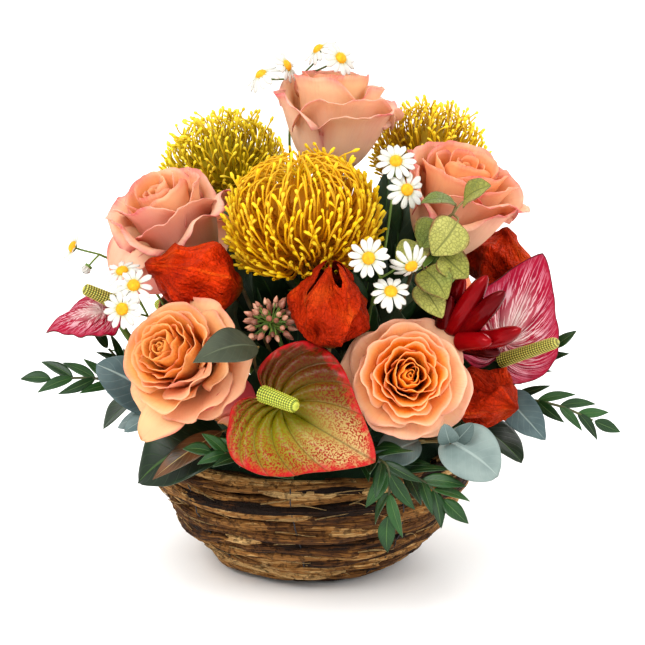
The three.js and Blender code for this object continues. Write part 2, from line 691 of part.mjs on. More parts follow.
// Leafy stems: each leaf is [root, tip, facing, width].
const LEAFY = {
  eucalyptus_gold: {
    finish: FINISH.goldLeaf,
    way: [[42, -36, 140], [56, -50, 186], [60, -64, 212], [78, -78, 229]],
    leaves: [
      [[84, -78, 236], [98, -86, 246], [0.2, -0.5, 0.85], 22],
      [[79, -78, 235], [60, -84, 236], [-0.1, -0.4, 0.9], 12],
      [[80, -86, 226], [66, -93, 209], [0.1, -0.95, 0.3], 23],
      [[70, -80, 225], [60, -86, 211], [-0.3, -0.9, 0.3], 20],
      [[60, -76, 212], [49, -92, 199], [-0.3, -0.9, 0.3], 18],
      [[72, -86, 208], [86, -92, 196], [0.2, -0.9, 0.35], 18],
      [[62, -88, 200], [74, -100, 186], [0.1, -0.9, 0.4], 20],
      [[60, -88, 192], [72, -98, 175], [0.2, -0.9, 0.2], 17],
    ],
  },
  eucalyptus_front: {
    finish: FINISH.greyLeaf,
    way: [[-24, -60, 118], [-31, -90, 146], [-30, -105, 159]],
    leaves: [[[-29, -111, 162], [-62, -140, 161], [-0.1, -0.8, 0.5], 21]],
  },
  eucalyptus_low_left: {
    finish: FINISH.greyLeaf,
    way: [[-62, -40, 98], [-80, -54, 112]],
    leaves: [
      [[-84, -58, 114], [-122, -66, 140], [-0.4, -0.7, 0.5], 30],
      [[-80, -60, 108], [-106, -76, 103], [-0.3, -0.6, 0.6], 15],
      [[-82, -46, 99], [-114, -30, 93], [-0.4, -0.2, 0.85], 24],
    ],
  },
  eucalyptus_low_right: {
    finish: FINISH.greyLeaf,
    way: [[46, -66, 90], [62, -98, 104], [74, -110, 108]],
    leaves: [
      [[72, -112, 110], [102, -122, 92], [0.1, -0.72, 0.66], 34],
      [[76, -116, 109], [72, -126, 123], [-0.1, -0.9, 0.3], 11],
      [[79, -114, 109], [88, -118, 121], [0.1, -0.9, 0.3], 10],
      [[60, -102, 106], [36, -108, 96], [0, -0.6, 0.75], 24],
    ],
  },
  eucalyptus_right: {
    finish: FINISH.greyLeaf,
    way: [[82, -42, 92], [104, -46, 110]],
    leaves: [
      [[112, -50, 117], [134, -66, 95], [0.2, -0.9, 0.4], 22],
    ],
  },
  eucalyptus_back: {
    finish: FINISH.greyLeaf,
    way: [[-30, 60, 104], [-48, 92, 118]],
    leaves: [
      [[-50, 96, 120], [-76, 118, 104], [-0.3, 0.6, 0.7], 30],
      [[-46, 98, 122], [-30, 126, 112], [0.1, 0.7, 0.7], 26],
      [[-54, 92, 122], [-82, 98, 138], [-0.5, 0.7, 0.5], 22],
    ],
  },
  salal_front_left: {
    finish: FINISH.salal,
    way: [[-40, -56, 92], [-50, -76, 102]],
    leaves: [
      [[-48, -80, 102], [-98, -86, 76], [-0.3, -0.62, 0.7], 46],
      [[-42, -82, 98], [-10, -108, 86], [0.1, -0.7, 0.7], 24],
    ],
  },
  salal_right: {
    finish: FINISH.salal,
    way: [[66, -16, 86], [86, -22, 100]],
    leaves: [
      [[90, -34, 94], [120, -74, 84], [0.4, -0.5, 0.8], 30],
      [[90, -16, 100], [126, 8, 84], [0.6, 0.1, 0.8], 40],
    ],
  },
  salal_left: {
    finish: FINISH.salal,
    way: [[-66, 14, 88], [-84, 18, 102]],
    leaves: [
      [[-86, 12, 102], [-126, -8, 84], [-0.6, -0.1, 0.8], 40],
      [[-84, 28, 102], [-110, 56, 86], [-0.5, 0.4, 0.8], 36],
    ],
  },
  salal_back: {
    finish: FINISH.salal,
    way: [[18, 66, 88], [20, 82, 100]],
    leaves: [
      [[16, 86, 100], [-16, 124, 84], [-0.1, 0.6, 0.8], 40],
      [[26, 86, 100], [64, 116, 84], [0.3, 0.6, 0.8], 40],
      [[22, 80, 112], [20, 84, 166], [0.05, 0.95, 0.3], 34],
    ],
  },
  salal_middle: {
    finish: FINISH.salal,
    way: [[2, -6, 116], [0, -6, 128], [2, -8, 146], [2, -4, 166]],
    leaves: [
      [[-10, -16, 130], [-30, -32, 184], [-0.2, -0.9, 0.3], 32],
      [[14, -18, 134], [34, -36, 186], [0.2, -0.9, 0.3], 30],
      [[-8, -2, 172], [-17, 2, 234], [-0.1, -0.9, 0.2], 24],
      [[14, -8, 172], [36, -10, 222], [0.2, -0.9, 0.2], 22],
      [[16, 0, 150], [36, 40, 206], [0.3, 0.8, 0.4], 24],
    ],
  },
  bronze_leaf: {
    finish: FINISH.bronzeLeaf,
    way: [[-40, -66, 98], [-46, -84, 106]],
    leaves: [[[-50, -92, 108], [-88, -104, 84], [-0.3, -0.75, 0.6], 14]],
  },
};

function leafyStems() {
  for (const [name, spray] of Object.entries(LEAFY)) add(name, leafySpray(spray), spray.finish);
}

// Mastic fronds, some of them forking from one foot.
const FRONDS = {
  mastic_front_left: [
    {
      way: [[-8, -72, 96], [-14, -100, 101], [-36, -118, 103], [-54, -122, 106]],
      pairs: 4, long: 20, width: 8,
    },
  ],
  mastic_front: [
    {
      way: [[24, -70, 92], [32, -110, 100], [42, -128, 98], [42, -130, 72]],
      pairs: 4, long: 26, width: 9,
    },
    {
      way: [[24, -70, 92], [46, -106, 92], [62, -120, 88], [72, -126, 80]],
      pairs: 3, long: 24, width: 9,
    },
  ],
  mastic_left: [
    {
      way: [[-72, -36, 96], [-96, -46, 116], [-122, -54, 128], [-150, -54, 128]],
      pairs: 4, long: 22, width: 8,
    },
    {
      way: [[-72, -36, 96], [-100, -40, 122], [-118, -44, 144]],
      pairs: 2, long: 18, width: 8,
    },
  ],
  mastic_right: [
    {
      way: [[76, -30, 100], [112, -32, 110], [142, -46, 110], [164, -52, 102]],
      pairs: 4, long: 20, width: 8,
    },
    {
      way: [[76, -30, 100], [118, -22, 120], [142, -22, 138]],
      pairs: 2, long: 22, width: 7,
    },
  ],
  mastic_back_left: [
    {
      way: [[-66, 40, 98], [-96, 70, 106], [-118, 84, 102]],
      pairs: 4, long: 24, width: 8,
    },
  ],
  mastic_back_right: [
    {
      way: [[54, 50, 94], [94, 84, 108], [118, 98, 104]],
      pairs: 4, long: 24, width: 8,
    },
  ],
};

function masticFronds() {
  for (const [name, forks] of Object.entries(FRONDS)) add(name, fuse(forks.map(frond)), FINISH.mastic);
}

// ---------- chilies and berries ----------

// A bunch of pods on one stalk: each pod is [root, tip, radius].
const CHILIES = {
  way: [[52, -46, 104], [70, -64, 138], [76, -72, 156]],
  pods: [
    [[80, -86, 170], [96, -98, 199], 4.2],
    [[88, -88, 168], [105, -106, 192], 4.2],
    [[92, -92, 162], [114, -110, 172], 4],
    [[84, -92, 160], [98, -108, 164], 3.8],
    [[88, -84, 156], [104, -98, 155], 3.8],
    [[74, -86, 170], [77, -92, 186], 3.6],
    [[78, -80, 174], [84, -86, 196], 3.6],
    [[86, -78, 172], [94, -82, 194], 3.4],
    [[72, -78, 172], [71, -80, 194], 3.4],
  ],
};

function chilies() {
  const crown = vec(...CHILIES.way.at(-1));
  const pods = CHILIES.pods.map(([from, to, radius]) => {
    const [root, tip] = [vec(...from), vec(...to)];
    const points = [0.1, 0.7, 1].map((t) => root.clone().lerp(tip, t));
    return rod([crown, ...points], [1, radius, radius * 0.85, 0], 4);
  });
  const knot = solid(new THREE.OctahedronGeometry(5).translate(...crown.toArray()));
  add("chili_bunch", fuse([twig(CHILIES.way, 2), knot, ...pods]), FINISH.chili);
}

// A tight head of small buds that stand out of a smaller core at the end of the twig.
const BERRIES = {
  way: [[-12, -60, 126], [-17, -80, 156]],
  at: [-22, -90, 170],
  buds: 10,
  spread: 13,
  bud: 2.6,
};

function berries() {
  const middle = vec(...BERRIES.at);
  const core = solid(new THREE.OctahedronGeometry(0.72 * BERRIES.spread).translate(...middle.toArray()));
  const buds = Array.from({ length: BERRIES.buds }, (_, i) => {
    const z = 1 - (1.6 * (i + 0.5)) / BERRIES.buds;
    const flat = Math.sqrt(1 - z * z);
    const heading = vec(flat * Math.cos(2.4 * i), flat * Math.sin(2.4 * i), z);
    const points = [0.3, 0.85, 1.1].map((t) => middle.clone().addScaledVector(heading, t * BERRIES.spread));
    return rod(points, [0.8, BERRIES.bud, 0], 4);
  });
  add("berry_cluster", fuse([twig([...BERRIES.way, BERRIES.at], 1.4, 1), core, ...buds]), FINISH.berry);
}

// ---------- the whole arrangement ----------

add("basket", basket(), FINISH.vine);
add("liner", liner(), FINISH.liner);
roses();
pincushions();
lanterns();
anthuriums();
chamomiles();
leafyStems();
masticFronds();
chilies();
berries();
add("foam", foam(), FINISH.foam);

export default group;
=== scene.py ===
import math

import bmesh
import bpy
import mathutils
import numpy as np
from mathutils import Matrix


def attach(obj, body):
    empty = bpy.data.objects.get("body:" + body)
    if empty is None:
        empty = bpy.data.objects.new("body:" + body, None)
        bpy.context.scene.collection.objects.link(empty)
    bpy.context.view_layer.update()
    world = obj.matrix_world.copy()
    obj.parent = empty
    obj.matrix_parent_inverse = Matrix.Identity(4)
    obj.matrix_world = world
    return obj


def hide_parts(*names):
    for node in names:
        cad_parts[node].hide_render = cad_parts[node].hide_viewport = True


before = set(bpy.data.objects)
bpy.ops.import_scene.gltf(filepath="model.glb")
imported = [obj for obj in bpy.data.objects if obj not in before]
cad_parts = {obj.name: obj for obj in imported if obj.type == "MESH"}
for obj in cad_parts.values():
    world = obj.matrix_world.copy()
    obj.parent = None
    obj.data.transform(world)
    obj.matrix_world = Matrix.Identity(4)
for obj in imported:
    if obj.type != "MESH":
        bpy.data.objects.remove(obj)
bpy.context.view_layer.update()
print("frame loaded:", len(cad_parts), "nodes")

# All shapes below are worked out in millimetres and become metres when a mesh is made.
mm = 0.001
golden = 2.39996  # the angle between one blade and the next in a natural spiral
bloomRoll = 0.3  # how far blooms and husks are turned about their own axis
weldGap = 2e-6  # points nearer than this become one, in metres


def unit(v):
    # v divided by its length, along the last axis
    v = np.asarray(v, float)
    return v / np.maximum(np.linalg.norm(v, axis=-1, keepdims=True), 1e-9)


def ease(x, low=0.0, high=1.0):
    # 3t^2 - 2t^3 of t, which goes from 0 at low to 1 at high
    t = np.clip((np.asarray(x, float) - low) / (high - low), 0, 1)
    return t * t * (3 - 2 * t)


def ripple(points, size, seed, waves=9):
    # organic unevenness from -1 to 1: the mean of plane sine waves with random headings and lengths near size
    random = np.random.default_rng(seed)
    headings = unit(random.normal(size=(waves, 3)))
    headings = headings * random.uniform(0.6, 1.8, (waves, 1)) * 2 * np.pi / size
    phases = random.uniform(0, 2 * np.pi, waves)
    return np.sin(points @ headings.T + phases).sum(axis=-1) / math.sqrt(waves * 2)


def wholeTurn(count):
    # evenly spaced angles round an axis
    return np.linspace(0, 2 * np.pi, count, endpoint=False)


def ring(reach, angle, z):
    # points at a reach from the Z axis, an angle round it and a height: (reach cos angle, reach sin angle, z)
    return np.stack(np.broadcast_arrays(reach * np.cos(angle), reach * np.sin(angle), z), axis=-1)


def gridFaces(rows, columns, closed=False):
    # the quads between neighbours in a rows x columns grid, which wraps round its columns when closed
    r = np.arange(rows - 1)[:, None]
    c = np.arange(columns if closed else columns - 1)[None, :]
    a = r * columns + c
    b = r * columns + (c + 1) % columns
    return np.stack([a, b, b + columns, a + columns], axis=-1).reshape(-1, 4)


def gridMarks(rows, columns):
    # for each point of a grid: u from -1 to 1 along a row, v from 0 to 1 down the rows, and side 1
    u, v = np.meshgrid(np.linspace(-1, 1, columns), np.linspace(0, 1, rows))
    return np.stack([u, v, np.ones_like(u)], axis=-1).reshape(-1, 3)


def patch(points, faces, marks, shade):
    # what a piece is gathered from: points, quads, the marks of each point and its shade
    return {"points": points, "faces": faces, "marks": marks,
            "shade": np.broadcast_to(shade, len(points)) * 1.0}


def skin(grid, shade=0.0):
    # a round skin of one face, whose grid closes on itself along its rows
    rows, columns = grid.shape[:2]
    return patch(grid.reshape(-1, 3), gridFaces(rows, columns, True), gridMarks(rows, columns), shade)


def ball(radius, tall, rows, sides, up=0.0):
    # an egg round Z: its distance is radius sqrt(1 - w^2) and its height tall w + up, for w from -1 to 1
    w = np.linspace(-1, 1, rows)[:, None]
    return skin(ring(radius * np.sqrt(1 - w**2), wholeTurn(sides), tall * w + up))


def sheet(grid, thick, shade=0.0, closed=False):
    # a thin closed wall: the grid moved by half its thickness along its normal, which is the cross product
    # of its slopes, both ways, with a rim of quads round the edge; marks give u, v and side 1 in front and
    # 0 behind
    rows, columns = grid.shape[:2]
    if closed:
        wrapped = np.concatenate([grid[:, -1:], grid, grid[:, :1]], axis=1)
        across = (wrapped[:, 2:] - wrapped[:, :-2]) / 2
    else:
        across = np.gradient(grid, axis=1)
    normal = unit(np.cross(across, np.gradient(grid, axis=0)))
    half = normal * thick / 2
    count = rows * columns
    order = np.arange(count).reshape(rows, columns)
    if closed:
        loops = [np.append(order[0], order[0, 0]), np.append(order[-1, ::-1], order[-1, -1])]
    else:
        loops = [np.concatenate([order[0], order[1:, -1], order[-1, -2::-1], order[-2::-1, 0]])]
    rims = [np.stack([way[1:], way[:-1], way[:-1] + count, way[1:] + count], axis=-1) for way in loops]
    front = gridFaces(rows, columns, closed)
    faces = np.concatenate([front, front[:, ::-1] + count, *rims])
    marks = gridMarks(rows, columns)
    behind = marks * [1, 1, 0]
    points = np.concatenate([(grid + half).reshape(-1, 3), (grid - half).reshape(-1, 3)])
    return patch(points, faces, np.concatenate([marks, behind]), shade)


def tubes(paths, radii, sides, shade=0.0):
    # round rods: point = path + radius (cos a side + sin a across), for paths (rods, steps, 3) and radii to
    # match
    paths = np.asarray(paths, float)
    if paths.ndim == 2:
        paths = paths[None]
    rods, steps = paths.shape[:2]
    radii = np.asarray(radii, float)
    if radii.ndim < 3:
        radii = np.broadcast_to(radii, (rods, steps))[..., None]
    radii = np.broadcast_to(radii, (rods, steps, sides))
    heading = unit(np.gradient(paths, axis=1))
    upright = np.abs(heading[..., 2]).mean(axis=1) > 0.85
    pointer = np.where(upright[:, None, None], [1.0, 0.1, 0], [0.1, 0, 1.0])
    side = unit(pointer - heading * (pointer * heading).sum(axis=-1, keepdims=True))
    across = np.cross(heading, side)
    angle = wholeTurn(sides)[:, None]
    outward = np.cos(angle) * side[:, :, None] + np.sin(angle) * across[:, :, None]
    points = paths[:, :, None] + radii[..., None] * outward
    one = gridFaces(steps, sides, True)
    faces = (one[None] + (np.arange(rods) * steps * sides)[:, None, None]).reshape(-1, 4)
    marks = np.tile(gridMarks(steps, sides), (rods, 1))
    shades = np.repeat(np.broadcast_to(shade, rods), steps * sides)
    return patch(points.reshape(-1, 3), faces, marks, shades)


def smoothPath(places, count):
    # a curve through places: cubic Hermite pieces whose slope at each place is half the step from its
    # neighbours
    places = np.asarray(places, float)
    slopes = np.gradient(places, axis=0)
    t = np.linspace(0, len(places) - 1, count)
    k = np.minimum(t.astype(int), len(places) - 2)
    t = (t - k)[:, None]
    a = (2 * t**3 - 3 * t**2 + 1) * places[k] + (t**3 - 2 * t**2 + t) * slopes[k]
    return a + (3 * t**2 - 2 * t**3) * places[k + 1] + (t**3 - t**2) * slopes[k + 1]


def bezier(a, b, c, d, count):
    # the cubic curve a (1-t)^3 + 3 b t (1-t)^2 + 3 c t^2 (1-t) + d t^3
    t = np.linspace(0, 1, count)[:, None]
    return a * (1 - t) ** 3 + 3 * b * t * (1 - t) ** 2 + 3 * c * t**2 * (1 - t) + d * t**3


def upTurn(facing, roll=0.0):
    # the rotation that turns +Z the short way to facing, after a turn by roll about Z
    x, y, z = unit(facing)
    k = 1 / (1 + z)
    tilt = np.array([[1 - k * x * x, -k * x * y, x], [-k * x * y, 1 - k * y * y, y], [-x, -y, z]])
    c, s = math.cos(roll), math.sin(roll)
    return tilt @ np.array([[c, -s, 0], [s, c, 0], [0, 0, 1]])


def tipTurn(facing, tipward):
    # the rotation that takes +Z to facing and +Y as near as it can to tipward
    z = unit(facing)
    x = unit(np.cross(tipward, z))
    return np.stack([x, np.cross(z, x), z], axis=1)


def placed(made, at, turn):
    # the patch turned by a rotation and moved to its place
    return {**made, "points": made["points"] @ np.asarray(turn).T + np.asarray(at, float)}


def gather(patches):
    # one patch of them all, whose quads count on through the points
    starts = np.cumsum([0] + [len(p["points"]) for p in patches[:-1]])
    return {
        "points": np.concatenate([p["points"] for p in patches]),
        "faces": np.concatenate([p["faces"] + s for p, s in zip(patches, starts)]),
        "marks": np.concatenate([p["marks"] for p in patches]),
        "shade": np.concatenate([p["shade"] for p in patches]),
    }


def makePiece(name, patches, finish, nodes):
    # a mesh of all the patches, welded at its seams and poles, which rides the root and stands for CAD
    # nodes
    made = gather(patches)
    mesh = bpy.data.meshes.new(name)
    points, faces = made["points"] * mm, made["faces"]
    mesh.vertices.add(len(points))
    mesh.vertices.foreach_set("co", points.astype(np.float32).ravel())
    mesh.loops.add(faces.size)
    mesh.loops.foreach_set("vertex_index", faces.astype(np.int32).ravel())
    mesh.polygons.add(len(faces))
    mesh.polygons.foreach_set("loop_start", np.arange(0, faces.size, 4, dtype=np.int32))
    mesh.update(calc_edges=True)
    marks = mesh.attributes.new("mark", "FLOAT_VECTOR", "POINT")
    marks.data.foreach_set("vector", made["marks"].astype(np.float32).ravel())
    shades = mesh.attributes.new("shade", "FLOAT", "POINT")
    shades.data.foreach_set("value", made["shade"].astype(np.float32))
    work = bmesh.new()
    work.from_mesh(mesh)
    bmesh.ops.remove_doubles(work, verts=work.verts, dist=weldGap)
    work.to_mesh(mesh)
    work.free()
    mesh.polygons.foreach_set("use_smooth", np.ones(len(mesh.polygons), bool))
    mesh.materials.append(finish)
    piece = bpy.data.objects.new(name, mesh)
    bpy.context.scene.collection.objects.link(piece)
    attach(piece, "root")
    if nodes:
        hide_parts(*nodes)
    return piece


def paint(code):
    # the linear colour of a screen colour written as rrggbb
    levels = np.array([int(code[i:i + 2], 16) for i in (0, 2, 4)]) / 255
    return (*np.where(levels < 0.04045, levels / 12.92, ((levels + 0.055) / 1.055) ** 2.4), 1.0)


class Finish:
    # a material and short ways to add nodes to it
    def __init__(self, name, **values):
        self.material = bpy.data.materials.new(name)
        self.material.use_nodes = True
        self.tree = self.material.node_tree
        self.shader = self.tree.nodes["Principled BSDF"]
        for key, value in values.items():
            self.shader.inputs[key.replace("_", " ")].default_value = value

    def add(self, kind, inputs=None, out=0, **settings):
        # a node with its settings and inputs, and the output that is asked for
        node = self.tree.nodes.new("ShaderNode" + kind)
        for key, value in settings.items():
            setattr(node, key, value)
        for key, value in (inputs or {}).items():
            if isinstance(value, bpy.types.NodeSocket):
                self.tree.links.new(value, node.inputs[key])
            else:
                node.inputs[key].default_value = value
        return node.outputs[out]

    def marks(self):
        # u, v and side of the surface, and the shade of the blade
        mark = self.add("Attribute", out="Vector", attribute_name="mark")
        parts = self.add("SeparateXYZ", {0: mark}).node.outputs
        return parts[0], parts[1], parts[2], self.add("Attribute", out="Fac", attribute_name="shade")

    def place(self):
        return self.add("TexCoord", out="Object")

    def calc(self, operation, a, b=0.0, clamp=False):
        return self.add("Math", {0: a, 1: b}, operation=operation, use_clamp=clamp)

    def plus(self, first, *others):
        for other in others:
            first = self.calc("ADD", first, other)
        return first

    def times(self, first, *others):
        for other in others:
            first = self.calc("MULTIPLY", first, other)
        return first

    def minus(self, a, b):
        return self.calc("SUBTRACT", a, b)

    def larger(self, a, b):
        return self.calc("MAXIMUM", a, b)

    def absolute(self, a):
        return self.calc("ABSOLUTE", a)

    def vector(self, x, y, z=0.0):
        return self.add("CombineXYZ", {0: x, 1: y, 2: z})

    def noise(self, scale, detail=3.0, vector=None, distortion=0.0):
        inputs = {"Vector": vector or self.place(), "Scale": scale, "Detail": detail,
                  "Distortion": distortion}
        return self.add("TexNoise", inputs)

    def cells(self, vector, scale):
        # the distance to the edges of cells
        return self.add("TexVoronoi", {"Vector": vector, "Scale": scale}, feature="DISTANCE_TO_EDGE")

    def warped(self, scale, amount):
        # the place, pushed about by noise
        stray = self.add("TexNoise", {"Vector": self.place(), "Scale": scale}, out="Color")
        return self.add("VectorMath", {0: stray, 1: (amount,) * 3, 2: self.place()},
                        operation="MULTIPLY_ADD")

    def ramp(self, factor, stops):
        # colours at places from 0 to 1, as (place, rrggbb) pairs
        out = self.add("ValToRGB", {0: factor})
        line = out.node.color_ramp
        for _ in stops[2:]:
            line.elements.new(0.5)
        for element, (place, code) in zip(line.elements, stops):
            element.position = place
            element.color = paint(code)
        return out

    def span(self, value, low, high, start=0.0, end=1.0):
        # value carried from low..high to start..end, and held there
        keys = {"From Min": low, "From Max": high, "To Min": start, "To Max": end, "Value": value}
        return self.add("MapRange", keys)

    def mix(self, factor, a, b):
        # from colour a at 0 to colour b at 1
        a, b = (paint(x) if isinstance(x, str) else x for x in (a, b))
        return self.add("Mix", {0: factor, 6: a, 7: b}, out=2, data_type="RGBA")

    def colour(self, value):
        self.tree.links.new(value, self.shader.inputs["Base Color"])

    def rough(self, value):
        self.tree.links.new(value, self.shader.inputs["Roughness"])

    def bump(self, height, depth, strength=0.6):
        normal = self.add("Bump", {"Height": height, "Distance": depth * mm, "Strength": strength},
                          out="Normal")
        self.tree.links.new(normal, self.shader.inputs["Normal"])

    def thin(self, share):
        # lets light through: a share of the shading is a translucent one of the same colour
        colour = self.shader.inputs["Base Color"].links[0].from_socket
        glow = self.add("BsdfTranslucent", {"Color": colour})
        both = self.add("MixShader", {0: share, 1: self.shader.outputs[0], 2: glow})
        self.tree.links.new(both, self.tree.nodes["Material Output"].inputs["Surface"])


# basket, liner and foam

bowlShape = {"foot": 46.0, "belly": 95.0, "height": 78.0, "wall": 8.0}  # radii, height and thickness


def bowl(z):
    # the wall's radius at a height: foot + (belly - foot) (1 - (1 - z / height)^2.2)
    rest = np.clip(1 - np.asarray(z, float) / bowlShape["height"], 0, 1)
    return bowlShape["foot"] + (bowlShape["belly"] - bowlShape["foot"]) * (1 - rest**2.2)


basketLook = {
    "strands": 66,
    "strand": (2.1, 4.2),  # thinnest and thickest strand, as a radius
    "span": (0.3, 0.62),  # how far a strand runs round the wall, in turns
    "slope": 8.0,  # how much it may climb on its way
    "wander": 1.6,  # how far it strays up and down
    "depth": (-1.0, 3.0),  # how deep it lies in the wall
    "under": 12,  # strands of the deeper layer
    "rim": 9,  # strands that end the wall
    "lining": 6,  # strands that show inside
    "wires": 9,
    "rootlets": 110,
    "bark": ("1e1007", "5c3a1c", "9c6e3a", "dcb880"),
    "floor": 0.1,  # the least height, because it stands on the floor
}


def strand(start, height, radius, depth, turns, seed, shade, slope, steps=78, sides=9):
    # one vine round the bowl: its angle runs through the turns, its height is height + slope (t - 1/2) plus
    # sines of the angle, its distance is bowl(height) - depth plus sines, sinking in at its ends, and its
    # section has lobes
    random = np.random.default_rng(seed)
    t = np.linspace(0, 1, steps)
    angle = start + 2 * np.pi * turns * t
    waves = angle[:, None] * [2, 3, 5, 9, 14]
    stray = np.sin(waves + random.uniform(0, 6, 5)) @ (random.normal(size=5) * [0.7, 0.8, 0.5, 0.25, 0.12])
    pull = np.sin(waves + random.uniform(0, 6, 5)) @ (random.normal(size=5) * [0.4, 0.5, 0.5, 0.3, 0.2])
    z = height + slope * (t - 0.5) + basketLook["wander"] * stray
    z = np.clip(z, radius * 0.9, bowlShape["height"] - 1.5)
    tuck = 5 * (1 - ease(np.minimum(t, 1 - t), 0, 0.07))
    path = ring(bowl(z) - depth + 0.8 * pull - tuck, angle, z)
    knots = 1 + 0.12 * np.sin(37 * t * turns + seed) + 0.09 * np.sin(83 * t * turns + 2 * seed)
    around = wholeTurn(sides)
    twist = 16 * t[:, None] * turns
    lobes = 1 + 0.12 * np.cos(2 * around + twist) + 0.09 * np.cos(5 * around - 1.7 * twist + seed)
    made = tubes(path, (radius * knots)[None, :, None] * lobes[None], sides, shade)
    made["points"] += 0.3 * ripple(made["points"], 6, seed)[:, None] * unit(made["points"] * [1, 1, 0])
    made["marks"][:, 1] *= turns * 6
    return made


def makeBasket(finish, wireFinish):
    look = basketLook
    random = np.random.default_rng(3)
    made = []
    for k in range(look["strands"]):
        share = ((k + 0.5) / look["strands"]) ** 0.8
        height = 3.5 + (bowlShape["height"] - 8) * share
        radius, depth, turns = (random.uniform(*look[of]) for of in ("strand", "depth", "span"))
        shade, slope = random.uniform(0, 1), random.uniform(-1, 1) * look["slope"]
        made.append(strand(golden * k, height, radius, depth, turns, 10 * k, shade, slope))
    # a deeper layer that shows between them, the rim, the inside of the wall, and the coil under the floor
    # the deeper layer and the inside take only the darker strand shades: painted shade between and behind the
    # strands
    for k in range(look["under"]):
        made.append(strand(k, 5 + 6.1 * k, 3.6, 5.2, 1.03, 200 + k, random.uniform(0, 0.4), 1.0, 200))
    for k in range(look["rim"]):
        radius, depth, turns = random.uniform(2.4, 3.4), random.uniform(1.0, 6.0), random.uniform(0.4, 0.7)
        shade, slope = random.uniform(0, 1), random.uniform(-1.5, 1.5)
        made.append(strand(golden * k, 74.6, radius, depth, turns, 300 + k, shade, slope, 120))
    for k in range(look["lining"]):
        made.append(strand(k, 72 - 7 * k, 2.4, 6.8, 1.03, 400 + k, random.uniform(0, 0.5), 1.0, 120, 7))
    t = np.linspace(0, 1, 420)
    made.append(tubes(ring(42 - 37 * t, 40 * t, 3.6 + 0.6 * np.sin(37 * t)), 3.1, 8, 0.4))
    # the near-black wall behind the strands: painted shade that shows in the gaps between them
    z = np.linspace(4, 72, 16)[:, None]
    made.append(sheet(ring(bowl(z) - 6.2, wholeTurn(64), z), 1.4, -1.0, closed=True))
    # fine rootlets that have come loose
    for start in random.uniform(0, 2 * np.pi, look["rootlets"]):
        t = np.linspace(0, 1, 9)
        z = random.uniform(10, 74)
        turn = start + t * random.uniform(0.1, 0.4)
        z = z + random.uniform(-8, 8) * t**1.5 + 0.9 * np.sin(5 * t)
        reach = bowl(z) + 2.6 + np.sin(np.pi * t) * random.uniform(0.2, 2.2)
        made.append(tubes(ring(reach, turn, z), 0.4 - 0.2 * t, 4, 1.4))
    for part in made:
        part["points"][:, 2] = np.maximum(part["points"][:, 2], look["floor"])
    makePiece("vine_basket", made, finish, ["basket"])
    # thin wires that bind the strands, from the rim down to the foot
    wires = []
    z = np.linspace(6, 76, 26)
    for turn in wholeTurn(look["wires"]) + 4.62:
        reach = bowl(z) + 2.2 + 0.8 * np.sin(z * 0.7 + turn)
        wires.append(tubes(ring(reach, turn + 0.03 * np.sin(z / 15), z), 0.4, 5))
    makePiece("basket_wires", wires, wireFinish, [])


def vineFinish():
    f = Finish("vine", Roughness=0.85, Specular_IOR_Level=0.25)
    u, v, _, shade = f.marks()
    # noise on the strand's own round section, drawn out along it, so that the fibres have no seam
    turn = f.times(u, math.pi)
    side, front = (f.times(f.calc(wave, turn), 3.4) for wave in ("COSINE", "SINE"))
    fibres = f.noise(1.0, 6, f.vector(f.times(v, 7), side, f.plus(front, f.times(shade, 40))), 0.5)
    pits = f.span(f.noise(330, 3), 0.46, 0.36)
    patches = f.noise(70, 3)
    dark, brown, tan, pale = basketLook["bark"]
    tone = f.plus(f.times(fibres, 0.54), f.times(shade, 0.4), f.times(patches, 0.24))
    bark = f.ramp(tone, [(0.42, dark), (0.54, brown), (0.68, tan), (0.84, pale)])
    bark = f.mix(f.times(pits, 0.5), bark, dark)
    # shade below -0.3, which only the wall behind the strands has, turns near-black: painted shade for the
    # gaps
    f.colour(f.mix(f.span(shade, -0.3, -0.6), bark, "0c0704"))
    f.bump(f.plus(fibres, f.times(f.noise(520, 3), 0.4), f.times(pits, -0.4)), 2.8, 1.0)
    f.rough(f.span(patches, 0.3, 0.7, 0.7, 0.95))
    return f.material


linerLook = {"film": ("15181a", "2b3033"), "crinkle": 0.9, "foot": 9.5, "rim": 71.5, "thick": 0.8}
foamLook = {"wet": ("16301c", "22462b"), "pores": 900}


def makeLiner():
    # a film inside the wall: distance bowl - wall - 2.6 + crinkle sines of the angle, and its edge stands
    # up unevenly
    look = linerLook
    film = Finish("linerFilm", Roughness=0.35, Specular_IOR_Level=0.6)
    film.colour(film.ramp(film.noise(80, 3), [(0.3, look["film"][0]), (0.8, look["film"][1])]))
    film.bump(film.noise(140, 4), 1.5, 0.5)
    z = np.linspace(look["foot"], look["rim"], 22)[:, None]
    around = wholeTurn(120)
    crinkle = look["crinkle"] * (np.sin(17 * around + z / 6) * 0.5 + np.sin(31 * around - z / 9) * 0.35)
    reach = bowl(z) - bowlShape["wall"] - 2.6 + 0.4 * crinkle
    lift = (z > 65) * (1.3 * np.sin(9 * around) + 0.8 * np.sin(23 * around))
    wall = ring(reach, around, z + lift)
    floor = ring(np.linspace(0, 1, 8)[:-1, None] * reach[0], around, look["foot"])
    made = sheet(np.concatenate([floor, wall]), look["thick"], closed=True)
    makePiece("liner_film", [made], film.material, ["liner"])


def makeFoam():
    # a domed block turned from a profile of [distance, height], with an uneven skin
    foam = Finish("wetFoam", Roughness=0.95)
    foam.colour(foam.ramp(foam.noise(90, 5), [(0.3, foamLook["wet"][0]), (0.7, foamLook["wet"][1])]))
    foam.bump(foam.noise(foamLook["pores"], 2), 1.0, 0.8)
    profile = smoothPath([[1, 11], [35, 11], [62, 34], [81, 70], [79, 75], [61.4, 82.9], [34.8, 103.1],
                          [14, 109.2], [0, 110]], 60)
    block = ring(profile[:, :1], wholeTurn(120), profile[:, 1:])
    block[:, :, 2] += 0.5 * ripple(block, 14, 5)
    makePiece("foam_block", [skin(block)], foam.material, ["foam"])


# stems in the foam

